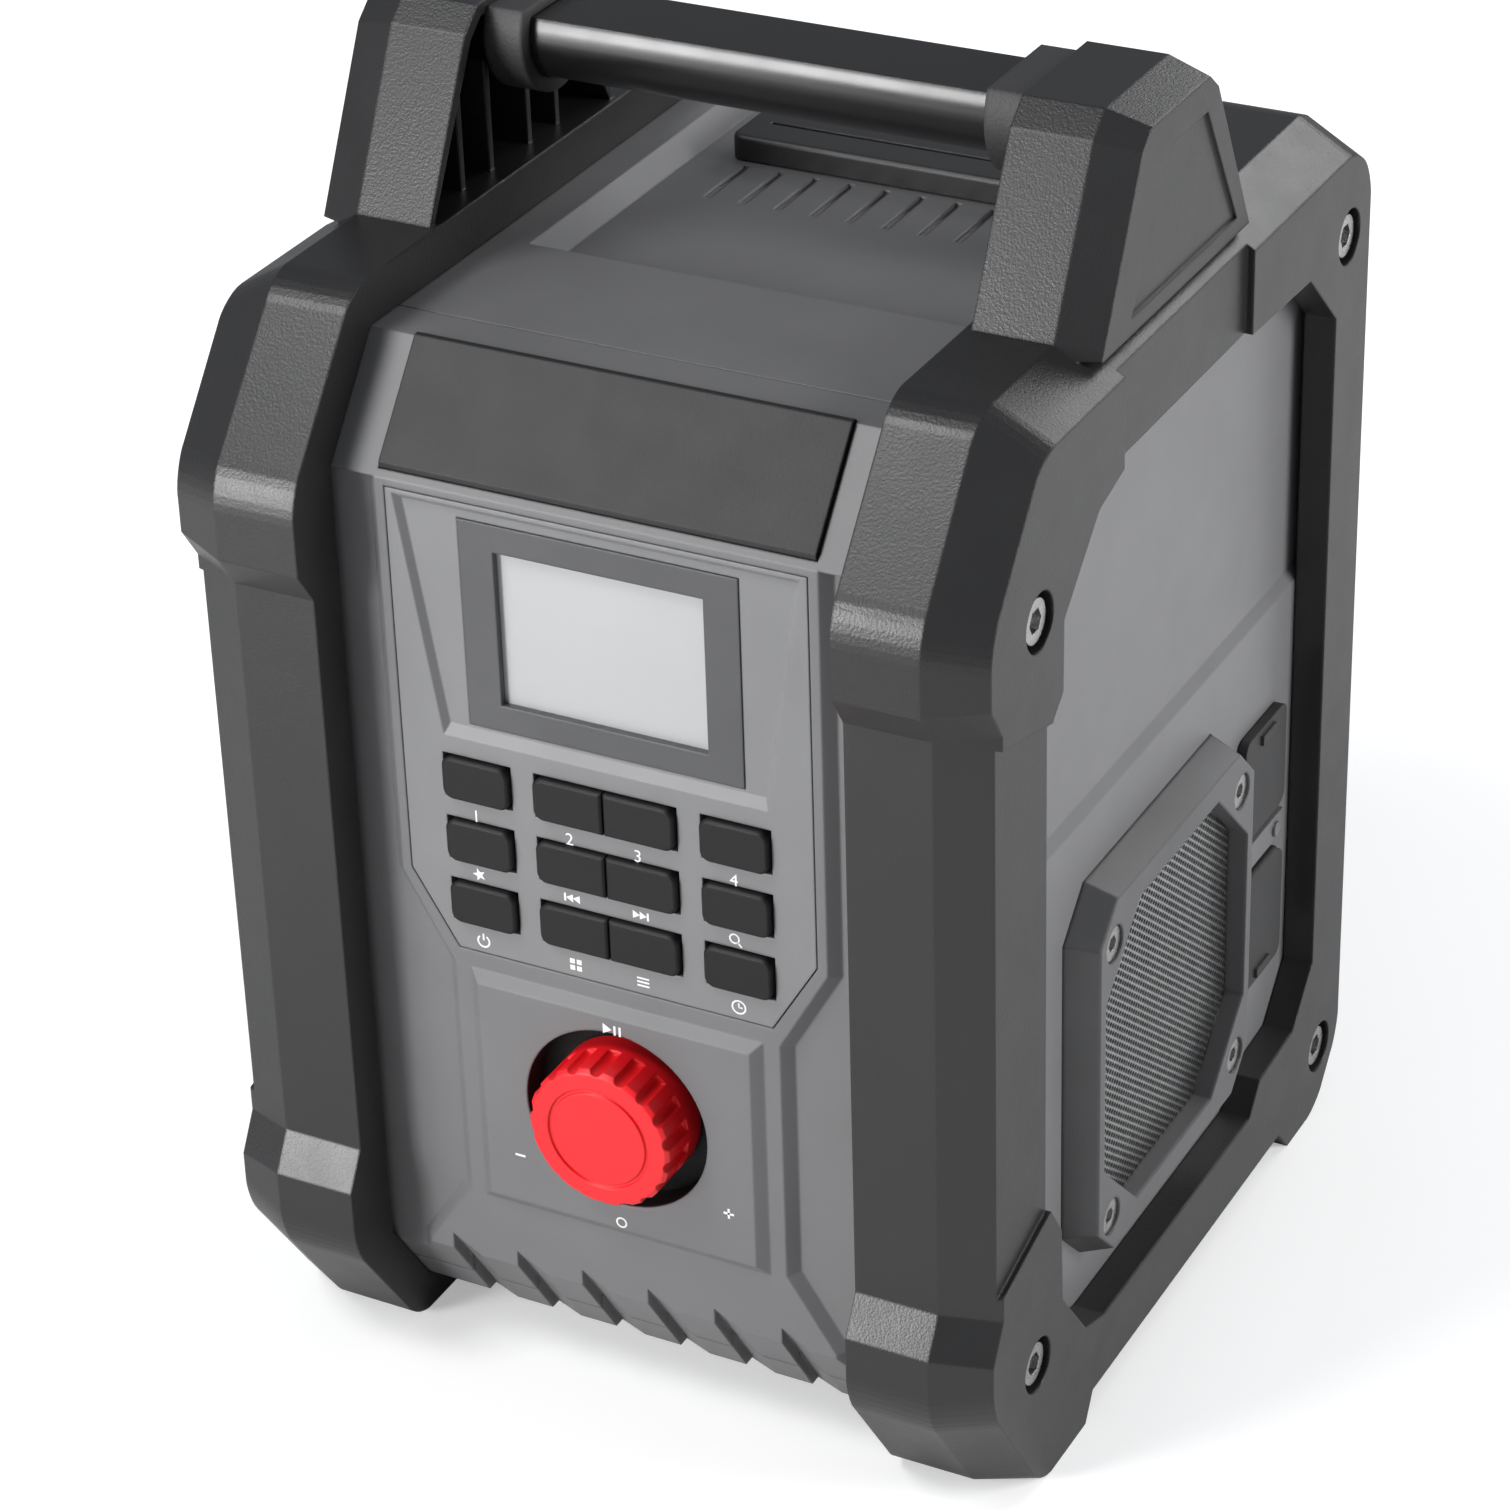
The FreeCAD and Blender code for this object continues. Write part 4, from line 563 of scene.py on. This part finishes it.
def dab(sheet, x, y, radius, sides=DISC_SIDES, turn=0.0):
    """A filled disc, or a triangle when it has three sides."""
    bmesh.ops.create_circle(sheet, cap_ends=True, segments=sides, radius=radius,
                            matrix=spot_matrix(x, y, turn))


def bar(sheet, x, y, wide, high, turn=0.0):
    """A filled rectangle."""
    bmesh.ops.create_grid(sheet, x_segments=1, y_segments=1, size=UNIT_GRID,
                          matrix=spot_matrix(x, y, turn, wide, high))


def hoop(sheet, x, y, radius, width, gap=0.0):
    """A ring, open at the top by gap degrees."""
    edges = []
    for r in (radius - width / 2, radius + width / 2):
        verts = bmesh.ops.create_circle(sheet, segments=HOOP_SIDES, radius=r,
                                        matrix=spot_matrix(x, y))["verts"]
        edges += list({e for v in verts for e in v.link_edges})
    faces = bmesh.ops.bridge_loops(sheet, edges=edges)["faces"]
    away = []
    for face in faces:
        centre = face.calc_center_median() - Vector((x * MM, y * MM, 0.0))
        if gap and abs(math.degrees(math.atan2(centre.x, centre.y))) < gap / 2:
            away.append(face)
    bmesh.ops.delete(sheet, geom=away, context="FACES")


# %% [markdown]
# The numerals come from Blender's own plain letters, which are a curve. The curve is turned into a
# mesh before it is put in its place, and then it is an ordinary part of the drawing. At the end
# the drawing gets the thickness of the ink and is stood up on the panel.

# %% Numerals and ink
NUMERAL_SIZE = 4.2
INK = 0.05 * MM
MARK_JOIN = 0.001 * MM


def number(sheet, x, y, text, size=NUMERAL_SIZE):
    """A numeral, set with Blender's own plain letters and turned into a mesh."""
    curve = bpy.data.curves.new("numeral", "FONT")
    curve.body, curve.size, curve.align_x, curve.align_y = text, size * MM, "CENTER", "CENTER"
    holder = bpy.data.objects.new("numeral", curve)
    bpy.context.scene.collection.objects.link(holder)
    bpy.context.view_layer.update()
    flat = bpy.data.meshes.new_from_object(holder)
    flat.transform(Matrix.Translation((x * MM, y * MM, 0.0)))
    sheet.from_mesh(flat)
    bpy.data.objects.remove(holder)
    bpy.data.meshes.remove(flat)


def stand_up(name, sheet, depth):
    """Gives the flat marks their ink thickness and stands them on the panel."""
    bmesh.ops.remove_doubles(sheet, verts=sheet.verts[:], dist=MARK_JOIN)
    for face in sheet.faces:
        if face.normal.z < 0:
            face.normal_flip()
    raised = bmesh.ops.extrude_face_region(sheet, geom=sheet.faces[:])["geom"]
    top = [v for v in raised if isinstance(v, bmesh.types.BMVert)]
    bmesh.ops.translate(sheet, verts=top, vec=(0, 0, INK))
    bmesh.ops.recalc_face_normals(sheet, faces=sheet.faces[:])
    on_panel = Matrix.Translation(place(0, depth, 0)) @ STAND
    bmesh.ops.transform(sheet, matrix=on_panel, verts=sheet.verts[:])
    return add_piece(name, sheet, mark_ink, "case")


# %% [markdown]
# Only plain numbers and common signs are printed under the keys. The upper row has the numbers 1
# to 4. The middle row has a star, previous, next and search, and the lower row has power, a grid,
# a list and a clock. The star is a disc of ten sides with every other corner drawn in.

# %% Marks under the keys
NUMBER_ROW, MIDDLE_ROW, LOWER_ROW = 150.4, 135.6, 118.5
STAR_SPOT, STAR_RADIUS, STAR_WAIST, STAR_TURN = (-32.8, MIDDLE_ROW), 1.7, 0.42, 18.0
STROKE, THIN_STROKE = 0.42, 0.38
ARROW_RADIUS, ARROW_TURN = 1.15, 90.0

marks = bmesh.new()
for text, x in (("1", -32.6), ("2", -9.3), ("3", 7.5), ("4", 30.8)):
    number(marks, x, NUMBER_ROW, text)
for x, way in ((-9.3, -1.0), (7.4, 1.0)):               # previous and next
    dab(marks, x - 1.2 * way, MIDDLE_ROW, ARROW_RADIUS, 3, -ARROW_TURN * way)
    dab(marks, x + 0.5 * way, MIDDLE_ROW, ARROW_RADIUS, 3, -ARROW_TURN * way)
    bar(marks, x + 1.9 * way, MIDDLE_ROW, 0.5, 2.0)
hoop(marks, -32.8, 118.4, 1.45, STROKE, gap=70.0)       # power
bar(marks, -32.8, 119.5, STROKE, 1.7)
star = bmesh.ops.create_circle(marks, cap_ends=True, segments=10, radius=STAR_RADIUS,
                               matrix=spot_matrix(*STAR_SPOT, STAR_TURN))["verts"]
middle = Vector((STAR_SPOT[0] * MM, STAR_SPOT[1] * MM, 0.0))
for corner in star[1::2]:
    corner.co = middle + (corner.co - middle) * STAR_WAIST
hoop(marks, 30.4, 135.8, 1.1, THIN_STROKE)              # search
bar(marks, 31.6, 134.5, 1.5, STROKE, -45.0)
for i in (-1, 1):                                       # grid
    for j in (-1, 1):
        bar(marks, -9.4 + i * 0.85, LOWER_ROW + j * 0.85, 1.2, 1.2)
for i in (-1, 0, 1):                                    # list
    bar(marks, 7.4, LOWER_ROW + i * 0.95, 3.0, STROKE)
hoop(marks, 30.9, LOWER_ROW, 1.6, THIN_STROKE)          # clock
bar(marks, 30.9, 118.95, 0.36, 1.2)
bar(marks, 31.3, 118.45, 1.0, 0.36)
stand_up("panel_marks", marks, FACE)

# %% [markdown]
# Round the knob there are four signs: play and pause above it, less and more at its sides, and a
# small ring below it. They lie on the raised square, which is nearer to the front than the panel.

# %% Marks round the knob
PLAY_ROW, SIDE_ROW, RING_ROW = 105.2, 64.4, 53.6
LESS_PLACE, MORE_PLACE = -25.6, 27.6
SIGN_LENGTH, SIGN_STROKE = 2.6, 0.55

marks = bmesh.new()
dab(marks, -1.5, PLAY_ROW, 1.5, 3, -ARROW_TURN)
for x in (0.7, 2.0):
    bar(marks, x, PLAY_ROW, SIGN_STROKE, 2.4)
for x in (LESS_PLACE, MORE_PLACE):
    bar(marks, x, SIDE_ROW, SIGN_LENGTH, SIGN_STROKE)
bar(marks, MORE_PLACE, SIDE_ROW, SIGN_STROKE, SIGN_LENGTH)
hoop(marks, 0.0, RING_ROW, 1.2, STROKE)
stand_up("knob_marks", marks, PAD_FACE)
